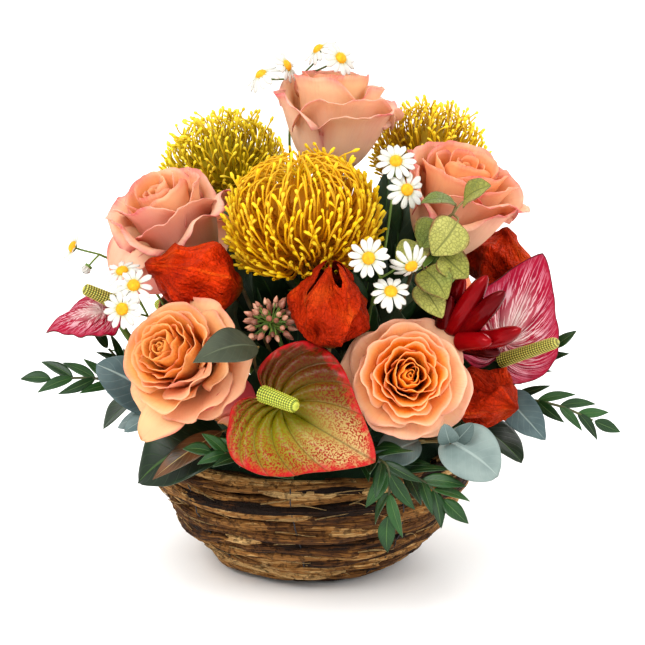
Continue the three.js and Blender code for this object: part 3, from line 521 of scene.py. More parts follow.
foamShape = {"focus": 58.0, "across": 70.0, "rise": 52.0, "depth": 20.0}


def rooting(place):
    # where a stem on its way from place enters the foam, and its end, along the line to the focus
    heading = unit(np.asarray(place, float) - [0, 0, foamShape["focus"]])
    reach = 1 / math.hypot(math.hypot(*heading[:2]) / foamShape["across"], heading[2] / foamShape["rise"])
    start = np.array([0, 0, foamShape["focus"]])
    return start + heading * (reach + 2), start + heading * (reach - foamShape["depth"]), heading


def stemPath(to, heading, count=18):
    # the foam's end, then a cubic curve from the mouth to the place, which it reaches along heading
    mouth, end, along = rooting(to - 18 * heading)
    bend = 0.35 * np.linalg.norm(mouth - to)
    return np.concatenate([[end], bezier(mouth, mouth + bend * along, to - bend * heading, to, count)])


def twigPath(way, count=20):
    # the foam's end, its mouth, and on through the places of the way
    mouth, end, _ = rooting(way[0])
    return np.concatenate([[end], smoothPath([mouth, *way], count)])


def stemFinish(name, dark, light):
    f = Finish(name, Roughness=0.55, Subsurface_Weight=0.05, Subsurface_Scale=0.002)
    f.colour(f.ramp(f.noise(70, 4), [(0.3, dark), (0.75, light)]))
    f.bump(f.noise(260, 2), 0.5, 0.4)
    return f.material


# roses

halfOpen = {  # values from the heart to the outermost petal, at the shares of the count in "share"
    "petals": 19,
    "share": (0, 0.2, 0.4, 0.6, 0.8, 1),
    "belly": (0.06, 0.2, 0.38, 0.56, 0.72, 0.84),  # distance from the axis, of half the bloom's width
    "rise": (0, 0, 2, 4, 8, 16),  # lean of the wall, in degrees from upright
    "foot": (40, 60, 76, 86, 94, 98),  # lean where it starts
    "curl": (-16, -8, 6, 26, 60, 84),  # how much further the upper edge leans out
    "roll": (0, 4, 14, 34, 60, 70),  # and its two corners
    "length": (0.84, 0.93, 1.0, 1.03, 1.0, 0.9),  # of the height
    "wrap": (2.3, 1.8, 1.55, 1.4, 1.26, 1.14),  # half the angle that it takes up round the axis
    "ruffle": (0, 1, 3, 5, 9, 12),  # waves along the edge, in degrees
    "above": 0.74,  # where the curl starts, of the petal's length
    "even": 0.15,  # the least that an outer petal curls, of the full curl
    "slot": "rose_petal",
}
fullOpen = {
    "petals": 32,
    "share": (0, 0.15, 0.35, 0.55, 0.72, 0.86, 1),
    "belly": (0.05, 0.19, 0.34, 0.47, 0.6, 0.72, 0.82),
    "rise": (0, 0, 3, 8, 20, 42, 62),
    "foot": (40, 55, 70, 82, 90, 95, 95),
    "curl": (-40, -22, 4, 18, 30, 34, 26),
    "roll": (0, 2, 6, 14, 24, 30, 30),
    "length": (0.94, 1.0, 1.04, 1.03, 1.0, 1.0, 1.0),
    "wrap": (2.4, 1.8, 1.45, 1.3, 1.22, 1.18, 1.14),
    "ruffle": (0, 3, 6, 8, 10, 13, 17),
    "above": 0.58,
    "even": 0.5,
    "slot": "open_rose_petal",
}
# tones of the heart, the petals, the outer petals and the edge; blush is how pink the edges are; petals
# that face the way "stained" are darker; each loose petal is [root, tip, facing, width, shade], stained
# above shade 1
roses = {
    "rose_top": {
        "at": [11, 18, 237], "facing": [0.06, 0.04, 1], "across": 74, "tall": 58, "form": halfOpen,
        "tones": ("f4ac54", "f4d4a2", "f8e0c8", "dc4a68"), "blush": 0.75,
    },
    "rose_left": {
        "at": [-68, -6, 179], "facing": [-0.38, -0.3, 0.88], "across": 66, "tall": 66, "form": halfOpen,
        "tones": ("fcb458", "fcd4a8", "fce4cc", "d63458"), "blush": 0.8, "stained": [-0.2, -0.9, -0.2],
        "loose": [
            [[-90, -18, 202], [-115, -30, 182], [-0.4, -0.85, 0.3], 30, 1.0],
            [[-84, -24, 186], [-104, -38, 176], [-0.2, -0.9, 0.3], 26, 1.25],
        ],
    },
    "rose_right": {
        "at": [74, -12, 194], "facing": [0.28, -0.24, 0.92], "across": 72, "tall": 62, "form": halfOpen,
        "tones": ("f8a248", "f8c890", "f8dcc0", "dc4464"), "blush": 0.8,
    },
    "rose_low_left": {
        "at": [-62, -82, 141], "facing": [-0.46, -0.74, 0.5], "across": 70, "tall": 46, "form": fullOpen,
        "tones": ("fcc858", "fcc264", "fcdcb4", "e03c60"), "blush": 0.6, "stained": [0.8, -0.2, -0.7],
        "loose": [
            [[-68, -94, 126], [-94, -104, 107], [-0.2, -0.8, 0.6], 25, 0.9],
            [[-54, -92, 116], [-36, -104, 142], [0.35, -0.9, -0.1], 32, 1.4],
            [[-50, -88, 112], [-30, -96, 126], [0.5, -0.8, -0.2], 24, 1.3],
        ],
    },
    "rose_front": {
        "at": [51, -86, 136], "facing": [0.08, -0.92, 0.36], "across": 68, "tall": 38, "form": fullOpen,
        "tones": ("ffd030", "ffb01c", "ffe0c8", "ec8084"), "blush": 0.34,
    },
    "rose_back_left": {
        "at": [-40, 78, 172], "facing": [-0.3, 0.72, 0.62], "across": 68, "tall": 46, "form": fullOpen,
        "tones": ("ffa63c", "ffbc84", "ffdcbc", "ee5070"), "blush": 0.6,
    },
    "rose_back_right": {
        "at": [62, 76, 138], "facing": [0.5, 0.76, 0.42], "across": 68, "tall": 46, "form": fullOpen,
        "tones": ("ffa43a", "ffb878", "ffd8b4", "ee5070"), "blush": 0.5,
    },
}


def petals(form, across, tall, seed):
    # A petal's midline is followed by its lean: r grows by sin(lean) and z by cos(lean), with lean = rise +
    # (foot - rise) e^(-v / 0.2) + curl ease(v) + roll |u|^3 ease(v) + waves, and fine crimps at the edge; r
    # is scaled so that it is belly at v = 0.6, and each row is an arc about the axis through the angle u
    # wrap, a little further out at one end. The whole bloom is then brought to its width and height.
    random = np.random.default_rng(seed)
    count = form["petals"]
    share = np.linspace(0, 1, count)
    names = ("belly", "rise", "foot", "curl", "roll", "length", "wrap", "ruffle")
    belly, rise, foot, curl, roll, length, wrap, ruffle = (
        np.interp(share, form["share"], form[k])[:, None, None] for k in names)
    size = (count, 1, 1)
    age = share[:, None, None]
    curl = curl * np.where(age > 0.5, random.uniform(form["even"], 1.15, size), 1)
    roll = roll * random.uniform(0.5, 1.3, size)
    rise = rise + random.normal(0, 3, size) * age
    rows, columns = 24, 31
    u = np.linspace(-1, 1, columns)[None, None]
    v = np.linspace(0, 1, rows)[None, :, None]
    waves = sum(np.sin(k * u + random.uniform(0, 6, size)) * random.uniform(0.4, 1, size)
                for k in (3.1, 5.7, 10.3))
    lopsided = 1 + random.uniform(-0.4, 0.4, size) * u
    lean = rise + (foot - rise) * np.exp(-v / 0.2) + curl * ease(v, form["above"], 1.08)
    lean = lean + roll * lopsided * abs(u) ** 3 * ease(v, 0.5, 1.05) + ruffle * waves * ease(v, 0.55, 1.05)
    crimp = np.sin(21 * u + random.uniform(0, 6, size)) * np.sin(8 * u + random.uniform(0, 6, size))
    lean = lean + 1.1 * ruffle * crimp * ease(v, 0.88, 1)
    lean = np.radians(lean)
    short = 1 - 0.16 * abs(u) ** 4 + 0.035 * np.exp(-((u / 0.14) ** 2)) * age - 0.02 * np.cos(7 * u) * age
    step = length * tall * short * random.uniform(0.95, 1.04, size) / (rows - 1)
    r = np.cumsum(np.sin(lean) * step, axis=1) + 0.5
    z = np.cumsum(np.cos(lean) * step, axis=1)
    r = r * (belly * across / 2 / r[:, 14:15, 15:16])  # the middle of row 14, where v is 0.6
    r = r * (1 + 0.07 * u * random.uniform(0.4, 1, size))
    r = r + 0.6 * np.sin(5 * u + random.uniform(0, 6, size)) * v
    angle = u * wrap * (0.5 + 0.5 * ease(v, -0.05, 0.5)) * (1 - 0.08 * v**6)
    turn = golden * np.arange(count)[:, None, None] + random.normal(0, 0.12, size) + angle
    flat = 1 - 0.1 * age * (1 - np.cos(2 * angle)) / 2  # outer petals are flatter than the circle
    points = ring(r * flat, turn, z)
    far = np.percentile(np.hypot(points[..., 0], points[..., 1])[-8:], 98)
    high = np.percentile(points[..., 2], 99.8)
    return points * [across / 2 / far, across / 2 / far, tall / high], share


def roseFinish(name, tones, blush):
    f = Finish(name, Roughness=0.6, Specular_IOR_Level=0.15)
    u, v, side, shade = f.marks()
    deep, body, pale, edge = tones
    # the inside goes from the heart's tone to the pale outer petals, and each petal is paler at its edge
    inner = f.mix(f.span(shade, 0.08, 0.7), deep, body)
    inner = f.mix(f.span(shade, 0.62, 0.92, 0, 0.9), inner, pale)
    inner = f.mix(f.span(v, 0.88, 1.0, 0, 0.8), inner, f.mix(f.span(shade, 0.0, 0.6), body, pale))
    outer = f.mix(f.span(v, 0.15, 0.75), pale, f.mix(f.span(shade, 0.5, 0.9, 0, 0.85), body, pale))
    flesh = f.mix(side, inner, outer)
    flesh = f.mix(f.span(v, 0.34, 0.04, 0, 0.8), flesh, "e8c56a")
    fine = f.noise(1.0, 4, f.vector(f.times(u, 26), f.times(v, 2.2), f.times(shade, 31)), 0.3)
    mottle = f.plus(f.times(fine, 0.6), f.times(f.noise(150, 5), 0.4))
    flesh = f.mix(f.span(mottle, 0.4, 0.62, 0, 0.3), flesh, f.mix(0.5, deep, pale))
    flesh = f.mix(f.span(mottle, 0.48, 0.36, 0, 0.22), flesh, f.mix(0.6, edge, body))
    # a flush over the outer petals, a pink margin that comes and goes, and the stain of the darker petals
    cloud = f.noise(38, 2)
    flush = f.times(side, f.span(v, 0.3, 1.0), f.span(cloud, 0.36, 0.66, 0.25, 1))
    flush = f.times(flush, f.span(shade, 0.45, 0.9), 0.8 * blush)
    flesh = f.mix(flush, flesh, f.mix(0.45, edge, pale))
    margin = f.larger(f.calc("POWER", f.absolute(u), 5), f.calc("POWER", v, 10))
    pink = f.times(f.span(margin, 0.35, 1.0), f.span(cloud, 0.38, 0.62, 0.2, 1),
                   f.span(fine, 0.3, 0.7, 0.6, 1.1))
    pink = f.calc("MULTIPLY", f.times(pink, blush), f.span(shade, 0.02, 0.4, 0.15, 1), clamp=True)
    stain = f.times(f.span(shade, 1.05, 1.4, 0, 0.85), f.span(v, 0.0, 0.7, 0.3, 1))
    f.colour(f.mix(f.larger(pink, stain), flesh, edge))
    f.bump(f.plus(fine, f.noise(260, 3)), 0.45, 0.6)
    f.thin(0.42)
    return f.material


hipLook = {
    "profile": [[1.5, -12], [4.2, -10], [5.4, -6], [4.9, -2], [5.6, 0.5]],  # distance and height
    "sepals": 5,
    "step": 1.2566,  # the angle from one sepal to the next
}


def hipAndStem(rose, finish, node):
    # the hip is turned from its profile, its sepals curl out and down, and the stem runs into the foam
    turn = upTurn(rose["facing"], bloomRoll)
    profile = smoothPath(hipLook["profile"], 14)
    hip = ring(profile[:, :1], wholeTurn(16), profile[:, 1:])
    made = [placed(skin(hip, 0.3), rose["at"], turn)]
    for k in range(hipLook["sepals"]):
        heading = ring(1, hipLook["step"] * k, 0)
        root, tip = 4 * heading + [0, 0, -2], 23 * heading + [0, 0, -9 + 3 * math.sin(4 * k)]
        made.append(placed(leafBlade(root, tip, [0, 0, 1], 6.5, "lance", 0.3, -0.12), rose["at"], turn))
    heading = unit(rose["facing"])
    neck = np.array(rose["at"]) - 9 * heading
    path = stemPath(neck, heading)
    made.append(tubes(path, np.linspace(2.9, 2.5, len(path)), 10, 0.5))
    makePiece(node.replace("_stem", "_calyx_and_stem"), made, finish, [node])


def makeRoses(stemPaint):
    for seed, (name, rose) in enumerate(roses.items()):
        grids, share = petals(rose["form"], rose["across"], rose["tall"], 20 + seed)
        turn = upTurn(rose["facing"], bloomRoll)
        headings = ring(1, golden * np.arange(len(share)), 0) @ turn.T
        stained = (headings @ unit(rose.get("stained", [0, 0, 0])) > 0.5) & (share > 0.6)
        share = np.where(stained, 1.13, share)
        made = [placed(sheet(grid, 0.45, s), rose["at"], turn) for grid, s in zip(grids, share)]
        for root, tip, up, width, shade in rose.get("loose", []):
            made.append(leafBlade(root, tip, up, width, "round", shade, 0.25, 0.22, 0.1, 26, 21, 0.45))
        finish = roseFinish(name, rose["tones"], rose["blush"])
        makePiece(name + "_petals", made, finish, [name])
        hipAndStem(rose, stemPaint, name + "_stem")


# pincushion flowers

# sweep is how far round a style's foot lies from its tip, in degrees; loops is the share that loop
pincushions = {
    "pincushion_front": {
        "at": [-2, -48, 180], "facing": [-0.06, -0.1, 1], "across": 92, "tall": 84, "styles": 620,
        "thick": 0.72, "sweep": 48, "loops": 0.6, "strays": 8,
        "tones": ("c07c0a", "e4a80c", "f0c416", "f8e02c"),
    },
    "pincushion_left": {
        "at": [-46, 40, 206], "facing": [-0.28, 0.16, 0.95], "across": 78, "tall": 64, "styles": 430,
        "thick": 0.54, "sweep": 40, "loops": 0.2, "strays": 60,
        "tones": ("a08a10", "c8b410", "e4cc1a", "fff04c"),
    },
    "pincushion_right": {
        "at": [66, 42, 212], "facing": [0.2, 0.22, 0.95], "across": 74, "tall": 64, "styles": 400,
        "thick": 0.54, "sweep": 34, "loops": 0.1, "strays": 50,
        "tones": ("a08010", "caa410", "e6c418", "ffec48"),
    },
}


def headSize(head):
    # half the head's width, depth and height
    return np.array([head["across"], head["across"], head["tall"]]) / 2


def clubbed(t):
    # how much the club near a style's tip adds: e^(-((t - 0.95) / 0.045)^2)
    return np.exp(-(((t - 0.95) / 0.045) ** 2))


def styles(head, seed):
    # Style k ends at an angle tip from the axis and a = golden k round it. It starts low down by the core
    # and runs up the outside: its angle is tip + sweep (1 - t)^1.3 and its distance 0.3 + 0.62 (1 - (1 -
    # t)^2.4), with a small poke out at the end. Those that loop turn back into the crown. Its radius is
    # thin, with a club at the tip.
    random = np.random.default_rng(seed)
    count = head["styles"]
    tip = np.arccos(1 - 1.55 * (np.arange(count)[:, None] + 0.5) / count)
    turn = golden * np.arange(count)[:, None] + random.normal(0, 0.05, (count, 1))
    t = np.linspace(0, 1, 15)[None]
    sweep = np.minimum(math.radians(head["sweep"]) * random.uniform(0.85, 1.15, (count, 1)), 2.75 - tip)
    out = 0.3 + 0.62 * (1 - (1 - t) ** 2.4) + random.uniform(0.0, 0.12, (count, 1)) * t**5
    looped = (tip < 0.85) & (random.uniform(0, 1, (count, 1)) < head["loops"])
    out = np.where(looped, out - 0.34 * ease(t, 0.72, 1) + 0.06 * np.sin(np.pi * t), out)
    angle = tip + sweep * (1 - t) ** 1.3 - np.where(looped, 0.3 * ease(t, 0.6, 1), 0)
    turn = turn + random.normal(0, 0.1, (count, 1)) * np.sin(np.pi * t)
    path = ring(out * np.sin(angle), turn, out * np.cos(angle)) * headSize(head)
    radius = head["thick"] * (1 - 0.25 * t) + 0.65 * clubbed(t) * ~looped
    radius = radius * random.uniform(0.85, 1.15, (count, 1))
    return path, radius, random.uniform(0, 1, count)


def strays(head, seed):
    # thin styles that have sprung out of the head, with an oval tip
    random = np.random.default_rng(seed)
    count = head["strays"]
    turn = random.uniform(0, 2 * np.pi, count)
    lean = random.uniform(0.15, 1.0, count)
    heading = ring(np.sin(lean), turn, np.cos(lean))
    t = np.linspace(0, 1, 18)[None, :, None]
    bow = random.uniform(-0.12, 0.12, (count, 1, 3)) * np.sin(np.pi * t)
    long = random.uniform(1.0, 1.2, count)[:, None, None]
    path = (heading[:, None] * (0.4 + (long - 0.4) * t) + bow) * headSize(head)
    return path, 0.42 + 0.75 * clubbed(t[..., 0]), random.uniform(0.5, 1, count)


def pincushionFinish(name, tones):
    f = Finish(name, Roughness=0.45, Specular_IOR_Level=0.25)
    _, v, _, shade = f.marks()
    hue = f.ramp(v, [(0.0, tones[0]), (0.35, tones[1]), (0.8, tones[2]), (0.95, tones[3])])
    f.colour(f.mix(f.span(shade, 0, 1, 0, 0.35), hue, f.mix(v, "b8501a", "e8d060")))
    f.thin(0.34)
    return f.material


def makePincushions(stemPaint):
    for seed, (name, head) in enumerate(pincushions.items()):
        turn = upTurn(head["facing"])
        heading = unit(head["facing"])
        middle = np.array(head["at"]) + 0.95 * head["tall"] / 2 * heading
        core = ball(0.56 * head["across"] / 2, 0.62 * head["tall"] / 2, 12, 20)
        core["marks"][:, 1] = 0.12  # the colour of a style near its foot
        made = [core]
        for path, radius, shade in (styles(head, 50 + seed), strays(head, 60 + seed)):
            made.append(tubes(path, radius, 5, shade))
        finish = pincushionFinish(name, head["tones"])
        makePiece(name + "_styles", [placed(m, middle, turn) for m in made], finish, [name])
        foot = np.array(head["at"], float)
        path = stemPath(foot - 0.4 * heading, heading)
        bark = [tubes(path, np.linspace(3.8, 3.2, len(path)), 12, 0.8)]
        for k in range(14):
            out = ring(1, golden * k, 0)
            root, tip = 3 * out + [0, 0, -2 - 0.6 * k], (13 - 0.3 * k) * out + [0, 0, 6 - 1.4 * k]
            bark.append(placed(leafBlade(root, tip, [0, 0, 1], 5, "lance", 0.7, 0.1), foot, turn))
        makePiece(name + "_stem_and_bracts", bark, stemPaint, [name + "_stem"])


# paper lanterns

lanterns = {  # deep is how far the husk is darkened; each tear is its angle, depth and half its width
    "lantern_left": {
        "from": [-18, -36, 124], "at": [-39, -58, 182], "facing": [-0.9, -0.19, 0.29], "long": 58,
        "across": 44,
    },
    "lantern_middle": {
        "from": [8, -70, 128], "at": [10, -97, 158], "facing": [0.02, -0.1, 1], "long": 50, "across": 44,
        "deep": 0.5, "torn": [[3.7, 0.26, 0.16], [4.75, 0.2, 0.22], [5.9, 0.3, 0.14], [1.4, 0.25, 0.2]],
    },
    "lantern_right": {
        "from": [84, 4, 120], "at": [109, 4, 162], "facing": [0.16, 0.05, 0.95], "long": 44, "across": 42,
        "deep": 0.2,
    },
    "lantern_low_right": {
        "from": [66, -44, 104], "at": [84, -56, 122], "facing": [0.62, -0.66, -0.02], "long": 46,
        "across": 38, "deep": 0.5,
    },
    "lantern_back": {
        "from": [4, 60, 108], "at": [8, 92, 118], "facing": [0.1, 0.9, 0.2], "long": 48, "across": 42,
    },
}
lanternLook = {
    "keel": 0.17, "crease": 5.4, "fold": 3.8,
    "fruit": 9,  # radius of the fruit in a torn husk
    "tones": ("540a02", "c42c04", "ec4406", "ff6814"),
}


def oval(v, skew, power):
    # sin(pi v^skew)^power, which rises from 0 and falls to 0 again
    return np.maximum(np.sin(np.pi * np.clip(v, 0, 1) ** skew), 0) ** power


def husk(lantern, seed):
    # radius = across / 2 oval(v) (1.1 - keel |sin 2.5a|^0.9), which has five sharp keels, pushed in along
    # creases of -|ripple| and about by folds; a torn husk ends at a ragged height and its flaps lean out
    look = lanternLook
    a = wholeTurn(96)
    tears = lantern.get("torn", [])
    end = 0.97 + 0.02 * np.sin(23 * a) if tears else np.ones(96)
    for middle, deep, wide in tears:
        end = end - deep * np.exp(-(((a - middle) / wide) ** 2))
    v = np.linspace(0, 1, 60)[:, None] * end
    keels = 1.1 - look["keel"] * np.abs(np.sin(2.5 * a + 0.12 * np.sin(7 * v))) ** 0.9
    radius = np.maximum(lantern["across"] / 2 * oval(v, 0.82, 0.85) * keels, 0.9 * (1 - v))
    if tears:
        radius = radius + 2.5 * ease(v, 0.6, 1)
    grid = ring(radius, a, lantern["long"] * v)
    long = grid * [1, 1, 0.5]
    creases = -np.abs(ripple(long, 26, seed, 4)) * look["crease"]
    creases = creases + ripple(grid, 34, seed + 1, 4) * look["fold"]
    creases = creases - np.abs(ripple(long, 9, seed + 2, 5)) * 0.28 * look["crease"]
    swell = ease(v, 0, 0.15) * ease(v, 1, 0.85)
    push = (creases + 1.2) * swell
    grid[..., 0] += push * np.cos(a)
    grid[..., 1] += push * np.sin(a)
    return sheet(grid, 0.35, lantern.get("deep", 0.0), closed=True)


def lanternFinish():
    f = Finish("lanternHusk", Roughness=0.5, Specular_IOR_Level=0.16)
    u, v, side, shade = f.marks()
    dark, red, orange, light = lanternLook["tones"]
    crooked = f.warped(90, 0.006)
    net = f.larger(f.span(f.cells(crooked, 230.0), 0.07, 0.0), f.span(f.cells(crooked, 95.0), 0.06, 0.0))
    keel = f.absolute(f.calc("COSINE", f.times(u, 2.5 * math.pi)))
    tone = f.plus(f.times(f.noise(45, 4), 0.9), f.times(f.span(keel, 0.12, 0.0), 0.2))
    hue = f.ramp(tone, [(0.25, red), (0.5, orange), (0.75, light)])
    hue = f.mix(f.times(net, 0.13), hue, dark)
    hue = f.mix(f.span(v, 0.1, 0.0, 0, 0.5), hue, "a3b04a")
    hue = f.mix(f.times(shade, 0.5), hue, dark)
    # the inner face is darkened towards dark red: painted shade inside the husk, which shows where a husk is
    # torn
    f.colour(f.mix(side, f.mix(0.6, hue, "7a1206"), hue))
    # relief: the net of veins, and ridges from end to end and sharp crinkles, both of them -|noise - 1/2|
    stripes = f.noise(1.0, 5, f.vector(f.times(u, 13), f.times(v, 3.5)), 1.2)
    stripes, crinkle = (f.absolute(f.minus(x, 0.5)) for x in (stripes, f.noise(110, 6)))
    f.bump(f.plus(f.times(net, 0.4), f.times(stripes, -8.0), f.times(crinkle, -9.0)), 1.3, 1.0)
    f.thin(0.2)
    return f.material


def makeLanterns(finish, fruitPaint, stalkPaint):
    look = lanternLook
    for seed, (name, lantern) in enumerate(lanterns.items()):
        at = np.array(lantern["at"], float)
        turn = upTurn(lantern["facing"], bloomRoll)
        makePiece(name + "_husk", [placed(husk(lantern, 80 + 5 * seed), at, turn)], finish,
                  [name])
        stalk = tubes(twigPath([lantern["from"], at, at + 3 * unit(lantern["facing"])]), 1.2, 8, 0.4)
        makePiece(name + "_stalk", [stalk], stalkPaint, [])
        if "torn" in lantern:
            fruit = placed(ball(look["fruit"], look["fruit"], 18, 28, 19), at, turn)
            makePiece(name + "_fruit", [fruit], fruitPaint, [])


# leaves

# how the width runs from root to tip: the skew and power of an oval, and how drawn out the tip is
leafShapes = {
    "oval": (0.8, 0.62, 0.12),
    "round": (0.86, 0.55, 0.0),
    "spade": (0.66, 0.6, 0.2),
    "lance": (0.8, 0.95, 0.0),
}


def leafBlade(root, tip, up, width, shape="oval", shade=0.5, fold=0.15, arch=0.12, wave=0.0,
              rows=22, columns=11, thick=0.35):
    # A point is root + long v along + u half side + lift face, where lift = arch long 4v(1 - v) + fold |u|
    # half and a wave along the edge. It faces up, and its midrib sways a little to one side.
    root, tip = np.asarray(root, float), np.asarray(tip, float)
    long = np.linalg.norm(tip - root)
    along = (tip - root) / long
    side = unit(np.cross(along, up))
    face = np.cross(side, along)
    skew, power, point = leafShapes[shape]
    v = np.linspace(0, 1, rows)[:, None]
    u = np.linspace(-1, 1, columns)[None]
    half = width / 2 * oval(v, skew, power) * (1 - point * ease(v, 0.72, 0.95))
    half = half + 0.35 * (1 - v) + 0.05
    lift = arch * long * 4 * v * (1 - v) + fold * np.abs(u) * half
    lift = lift + wave * width * np.abs(u) ** 2 * np.sin(9 * v + 2.2 * u + 17 * shade) * 0.5
    sway = 0.04 * long * math.sin(40 * shade) * v * (1 - v) * 4
    grid = root + long * v[..., None] * along + (u * half + sway)[..., None] * side + lift[..., None] * face
    return sheet(grid, thick, shade)


def leafFinish(name, tones, vein, bumps=0.5, glow=0.15, net=False, rim=None, rough=0.5, coat=0.0):
    # three tones in clouds, a pale midrib with side veins (or a net of them), and a rim of another colour
    f = Finish(name, Roughness=rough, Specular_IOR_Level=0.4, Coat_Weight=coat, Coat_Roughness=0.3)
    u, v, side, shade = f.marks()
    away = f.absolute(u)
    cloud = f.noise(60, 4)
    tone = f.plus(f.times(cloud, 0.6), f.times(shade, 0.4))
    flesh = f.ramp(tone, [(0.3, tones[0]), (0.5, tones[1]), (0.72, tones[2])])
    stripe = f.absolute(f.minus(f.calc("FRACT", f.minus(f.times(v, 8), f.times(away, 2.2))), 0.5))
    lines = f.times(f.span(stripe, 0.42, 0.5), 0.22)
    if net:
        lines = f.larger(lines, f.span(f.cells(f.warped(120, 0.004), 520.0), 0.12, 0.0, 0, 0.7))
    lines = f.larger(lines, f.span(away, 0.07, 0.03))
    hue = f.mix(f.times(lines, 0.65), flesh, vein)
    if rim:
        hue = f.mix(f.times(f.span(away, 0.82, 1), f.span(cloud, 0.35, 0.6)), hue, rim)
    f.colour(f.mix(side, f.mix(0.45, hue, "9aa98a"), hue))
    f.bump(f.plus(f.times(lines, -1.0), f.times(f.noise(300, 2), 0.4)), bumps, 0.7)
    f.thin(glow)
    return f.material


leaves = {  # a spray has a way for its twig, and blades: [root, tip, facing, width]
    "eucalyptus_gold": {
        "shape": "spade", "finish": "gold_leaf",
        "way": [[42, -36, 140], [56, -50, 186], [60, -64, 212], [78, -78, 229]],
        "blades": [
            [[84, -78, 236], [98, -86, 246], [0.2, -0.5, 0.85], 22],
            [[79, -78, 235], [60, -84, 236], [-0.1, -0.4, 0.9], 12],
            [[80, -86, 226], [66, -93, 209], [0.1, -0.95, 0.3], 23],
            [[70, -80, 225], [60, -86, 211], [-0.3, -0.9, 0.3], 20],
            [[60, -76, 212], [49, -92, 199], [-0.3, -0.9, 0.3], 18],
            [[72, -86, 208], [86, -92, 196], [0.2, -0.9, 0.35], 18],
            [[62, -88, 200], [74, -100, 186], [0.1, -0.9, 0.4], 20],
            [[60, -88, 192], [72, -98, 175], [0.2, -0.9, 0.2], 17]]},
    "eucalyptus_front": {
        "shape": "lance", "finish": "lance_leaf",
        "way": [[-24, -60, 118], [-31, -90, 146], [-30, -105, 159]],
        "blades": [
            [[-29, -111, 162], [-62, -140, 161], [-0.1, -0.8, 0.5], 21]]},
    "eucalyptus_low_left": {
        "shape": "round", "finish": "grey_leaf", "way": [[-62, -40, 98], [-80, -54, 112]],
        "blades": [
            [[-84, -58, 114], [-122, -66, 140], [-0.4, -0.7, 0.5], 30],
            [[-80, -60, 108], [-106, -76, 103], [-0.3, -0.6, 0.6], 15],
            [[-82, -46, 99], [-114, -30, 93], [-0.4, -0.2, 0.85], 24]]},
    "eucalyptus_low_right": {
        "shape": "round", "finish": "silver_leaf", "way": [[46, -66, 90], [62, -98, 104], [74, -110, 108]],
        "blades": [
            [[72, -112, 110], [102, -122, 92], [0.1, -0.72, 0.66], 34],
            [[76, -116, 109], [72, -126, 123], [-0.1, -0.9, 0.3], 11],
            [[79, -114, 109], [88, -118, 121], [0.1, -0.9, 0.3], 10],
            [[60, -102, 106], [36, -108, 96], [0, -0.6, 0.75], 24]]},
    "eucalyptus_right": {
        "shape": "spade", "finish": "grey_leaf", "way": [[82, -42, 92], [104, -46, 110]],
        "blades": [
            [[112, -50, 117], [134, -66, 95], [0.2, -0.9, 0.4], 22]]},
    "eucalyptus_back": {
        "shape": "round", "finish": "grey_leaf", "way": [[-30, 60, 104], [-48, 92, 118]],
        "blades": [
            [[-50, 96, 120], [-76, 118, 104], [-0.3, 0.6, 0.7], 30],
            [[-46, 98, 122], [-30, 126, 112], [0.1, 0.7, 0.7], 26],
            [[-54, 92, 122], [-82, 98, 138], [-0.5, 0.7, 0.5], 22]]},
    "salal_front_left": {
        "shape": "oval", "finish": "salal_leaf", "way": [[-40, -56, 92], [-50, -76, 102]],
        "blades": [
            [[-48, -80, 102], [-98, -86, 76], [-0.3, -0.62, 0.7], 46],
            [[-42, -82, 98], [-10, -108, 86], [0.1, -0.7, 0.7], 24]]},
    "salal_right": {
        "shape": "oval", "finish": "salal_leaf", "way": [[66, -16, 86], [86, -22, 100]],
        "blades": [
            [[90, -34, 94], [120, -74, 84], [0.4, -0.5, 0.8], 30],
            [[90, -16, 100], [126, 8, 84], [0.6, 0.1, 0.8], 40]]},
    "salal_left": {
        "shape": "oval", "finish": "salal_leaf", "way": [[-66, 14, 88], [-84, 18, 102]],
        "blades": [
            [[-86, 12, 102], [-126, -8, 84], [-0.6, -0.1, 0.8], 40],
            [[-84, 28, 102], [-110, 56, 86], [-0.5, 0.4, 0.8], 36]]},
    "salal_back": {
        "shape": "oval", "finish": "salal_leaf", "way": [[18, 66, 88], [20, 82, 100]],
        "blades": [
            [[16, 86, 100], [-16, 124, 84], [-0.1, 0.6, 0.8], 40],
            [[26, 86, 100], [64, 116, 84], [0.3, 0.6, 0.8], 40],
            [[22, 80, 112], [20, 84, 166], [0.05, 0.95, 0.3], 34]]},
    "salal_middle": {
        "shape": "oval", "finish": "salal_leaf",
        "way": [[2, -6, 116], [0, -6, 128], [2, -8, 146], [2, -4, 166]],
        "blades": [
            [[-10, -16, 130], [-30, -32, 184], [-0.2, -0.9, 0.3], 32],
            [[14, -18, 134], [34, -36, 186], [0.2, -0.9, 0.3], 30],
            [[-8, -2, 172], [-17, 2, 234], [-0.1, -0.9, 0.2], 24],
            [[14, -8, 172], [36, -10, 222], [0.2, -0.9, 0.2], 22],
            [[16, 0, 150], [36, 40, 206], [0.3, 0.8, 0.4], 24]]},
    "bronze_leaf": {
        "shape": "lance", "finish": "bronze_leaf", "way": [[-40, -66, 98], [-46, -84, 106]],
        "blades": [
            [[-50, -92, 108], [-88, -104, 84], [-0.3, -0.75, 0.6], 14]]},
}
edgeWave = {"spade": 0.05, "oval": 0.05, "round": 0.02, "lance": 0.02}


